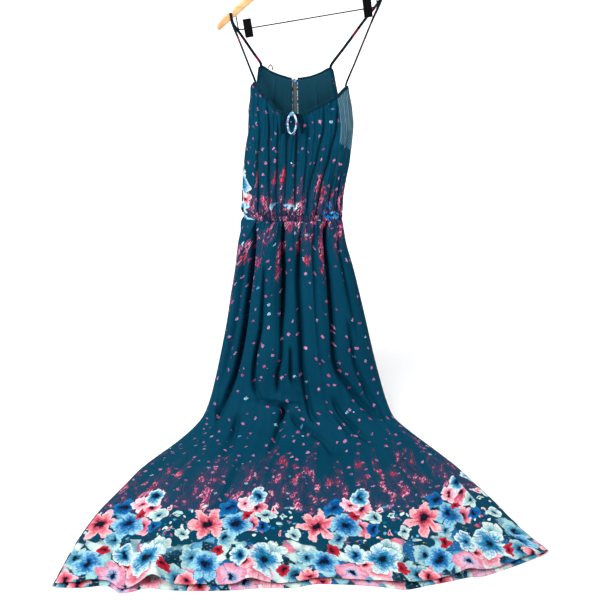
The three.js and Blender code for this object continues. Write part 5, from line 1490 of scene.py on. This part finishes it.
# Hanger
ARM_SPAN = 206
ARM_NECK_Z = -72
ARM_TIP_Z = -180
ARM_BEND = 1.08
ARM_END = 210.8
ARM_ROUNDING_X = 199
ARM_ROUNDING = 12
ARM_TIP_DROP = 2.4
ARM_TIP_THICKNESS = 0.55
WOOD_HEIGHT = 19
WOOD_THICKNESS = 12
NECK_RISE = 5
NECK_RISE_WIDTH = 16
NOTCH_X = 174
NOTCH_WIDTH = 11
NOTCH_DEPTH = 4
NOTCH_CORNER = 1.6
BAR_Z = -196
BAR_HALF = 163
BAR_BEND = 6
BAR_FIRST_X = 54
HOOK_WIRE = 3.6
BAR_WIRE = 3
CLIP_BEVEL = 0.0007


def arm_z(x):
    return ARM_NECK_Z + (ARM_TIP_Z - ARM_NECK_Z) * (np.abs(x) / ARM_SPAN) ** ARM_BEND


# Top of the wood at the outer side of a notch, where the notch's floor lies
NOTCH_FLOOR = arm_z(NOTCH_X + NOTCH_WIDTH / 2) + WOOD_HEIGHT / 2 - NOTCH_DEPTH


def wooden_arms():
    near_notch = NOTCH_X + np.linspace(-NOTCH_WIDTH / 2, NOTCH_WIDTH / 2, 15)
    right = np.unique(np.concatenate([np.linspace(0, 166, 60), near_notch, np.linspace(181, 205, 14),
                                      np.linspace(ARM_SPAN, ARM_END, 9)]))
    x = np.concatenate([-right[::-1][:-1], right])
    distance = np.abs(x)
    high = arm_z(distance) + WOOD_HEIGHT / 2 + NECK_RISE * np.exp(-(x / NECK_RISE_WIDTH) ** 2)
    half_notch = NOTCH_WIDTH / 2
    in_notch = 1 - smooth(half_notch - NOTCH_CORNER, half_notch, np.abs(distance - NOTCH_X))
    high = high * (1 - in_notch) + NOTCH_FLOOR * in_notch
    low = arm_z(distance) - WOOD_HEIGHT / 2
    end = np.clip((distance - ARM_ROUNDING_X) / ARM_ROUNDING, 0, 1)
    round_end = np.sqrt(np.maximum(1 - end ** 2, 0.01))
    centres = hanger_place(x, 0, (high + low) / 2 - ARM_TIP_DROP * end)
    up = hanger_place(0, 0, 1.0) - hanger_place(0, 0, 0.0)
    thickness = WOOD_THICKNESS * (ARM_TIP_THICKNESS + (1 - ARM_TIP_THICKNESS) * round_end)
    return loft("Wooden arms", centres, lying_along(FORWARD, len(x)), lying_along(up, len(x)), thickness,
                (high - low) * round_end, rounded(28, 4.2), wood_surface)


placed(wooden_arms(), "hanger_wood")
neck_top = ARM_NECK_Z + WOOD_HEIGHT / 2 + NECK_RISE + 0.3
hook_rows = [(0, neck_top - 3), (0, neck_top + 5), (1.5, neck_top + 8.5), (5.5, neck_top + 11.5),
             (11, neck_top + 13.6), *arc(0, -HOOK_RADIUS, HOOK_RADIUS + HOOK_WIRE / 2, -50, 205, 48)]
placed(wire("Hook", hook_rows, HOOK_WIRE, wire_surface), "hanger_hook")
bar_top = arm_z(BAR_HALF) - WOOD_HEIGHT / 2 + 1
bar_right = [(BAR_FIRST_X, BAR_Z), *arc(BAR_HALF - BAR_BEND, BAR_Z + BAR_BEND, BAR_BEND, -90, 0, 10),
             (BAR_HALF, bar_top)]
bar_left = [(-x, z) for x, z in bar_right][::-1]
placed(wire("Trouser bar", [*bar_left, *bar_right], BAR_WIRE, wire_surface), "hanger_bar")
for side_name, _ in SIDES:
    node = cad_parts[f"hanger_clip_{side_name}"]
    node.data.materials.clear()
    node.data.materials.append(clip_surface)
    edges = node.modifiers.new("Rounded edges", "BEVEL")
    edges.width = CLIP_BEVEL
    edges.segments = 3
    edges.limit_method = "ANGLE"

# Straps: their way through a notch, as depth and how far below the top, and how they stand at their feet
STRAP_PASS = [(-7.9, 19), (-7.9, 7), (-7.6, 2), (-6.3, -0.4), (-3.6, -0.9), (0, -0.7), (3.6, -0.9),
              (6.3, -0.4), (7.6, 2), (7.9, 7), (7.9, 19)]
STRAP_SIZE = (6.5, 1.6)
STRAP_TWIST = 46
STRAP_INSIDE = 3.2
STRAP_FOOT = (-6, -2, 2)
# How far a strap stands off its corner, to the middle
STRAP_FRONT_SHIFT = 0.02
STRAP_BACK_SHIFT = 0.015
STRAP_REST = NOTCH_FLOOR + STRAP_SIZE[1] / 2 + 0.3
STRAP_STEPS = 260


def strap_foot(half, edge, across, height):
    point, out = edge_point(half, edge, across)
    turn = math.degrees(math.atan2(half * out[0], -half * out[1]))
    x, y, z = point - out * STRAP_INSIDE
    return [(x, y, z + height + up, turn) for up in STRAP_FOOT]


def between(start, end, share, turn):
    return tuple(start[i] + (end[i] - start[i]) * share for i in range(3)) + (turn,)


for side_name, side in SIDES:
    front_corner = CORNERS["front"][side] - side * STRAP_FRONT_SHIFT
    back_corner = CORNERS["back"][side] - side * STRAP_BACK_SHIFT
    front = strap_foot(1, FRONT_EDGE, front_corner, NECK_FRONT_BINDING[0])
    back = strap_foot(-1, BACK_EDGE, back_corner, NECK_BACK_BINDING[0])[::-1]
    over = [(*hanger_place(side * NOTCH_X, y, STRAP_REST - drop), 0) for y, drop in STRAP_PASS]
    up = [between(front[-1], over[0], share, side * STRAP_TWIST) for share in (0.25, 0.7)]
    down = [between(over[-1], back[0], share, 0) for share in (0.35, 0.7)]
    path = [*front, *up, *over, *down, *back]
    strap = ribbon(f"Strap {side_name}", path, STRAP_STEPS, *STRAP_SIZE, strap_cloth)
    placed(strap, f"strap_{side_name}")

# Floor, lights and camera, in metres
BACKDROP_HALF = 16.0
BACKDROP_TOP = 9
BACKDROP_GAP = 0.0006
BEND_START = 0.9
BEND_RADIUS = 0.9
DRESS_MIDDLE = (0, -0.25, -0.75)
BACKDROP_MIDDLE = (0, 2.2, -0.6)
# Where each light is, where it looks, its size and its power
LIGHTS = {
    "Key": ((-1.8, -2.1, 1.1), DRESS_MIDDLE, 0.9, 96),
    "Fill": ((1.9, -2.0, 0.2), DRESS_MIDDLE, 1.0, 22),
    "Top": ((-0.9, -1.1, 2.3), DRESS_MIDDLE, 1.3, 46),
    "Backdrop light": ((0, 0.35, 1.1), BACKDROP_MIDDLE, 1.6, 24),
}


def backdrop():
    """A pale floor that bends up into a wall behind the dress."""
    bend_points = [(BEND_START + BEND_RADIUS * math.sin(a), BEND_RADIUS - BEND_RADIUS * math.cos(a))
                   for a in np.linspace(0.1, math.pi / 2, 16)]
    profile = [(-BACKDROP_HALF, 0), (BEND_START, 0), *bend_points, (BEND_START + BEND_RADIUS, BACKDROP_TOP)]
    floor_z = FLOOR_Z * MM - BACKDROP_GAP
    vertices = [(x, y, z + floor_z) for y, z in profile for x in (-BACKDROP_HALF, BACKDROP_HALF)]
    faces = [(2 * i, 2 * i + 1, 2 * i + 3, 2 * i + 2) for i in range(len(profile) - 1)]
    mesh = bpy.data.meshes.new("Backdrop")
    mesh.from_pydata(vertices, [], faces)
    material, n, surface = node_material("Pale floor")
    n.give(surface["Base Color"], (0.94, 0.94, 0.94, 1.0))
    n.give(surface["Roughness"], 0.9)
    return link("Backdrop", mesh, material)


backdrop()

for name, (place, target, lamp_size, power) in LIGHTS.items():
    lamp = bpy.data.lights.new(name, "AREA")
    lamp.shape = "DISK"
    lamp.size = lamp_size
    lamp.energy = power
    holder = bpy.data.objects.new(name, lamp)
    holder.location = place
    holder.visible_camera = False
    holder.rotation_euler = (Vector(place) - Vector(target)).to_track_quat("Z", "Y").to_euler()
    bpy.context.scene.collection.objects.link(holder)

world = bpy.data.worlds.new("Studio")
world.use_nodes = True
background = world.node_tree.nodes["Background"].inputs
background["Color"].default_value = (0.95, 0.97, 1.0, 1.0)
background["Strength"].default_value = 0.24
bpy.context.scene.world = world
bpy.context.scene.view_settings.view_transform = "Standard"

camera = bpy.data.cameras.new("Camera")
camera.lens = 39
camera.sensor_width = 36
camera_holder = bpy.data.objects.new("Camera", camera)
camera_holder.location = (0.009, -1.64, -0.292)
camera_holder.rotation_euler = (math.radians(70), 0, 0)
bpy.context.scene.collection.objects.link(camera_holder)
bpy.context.scene.camera = camera_holder
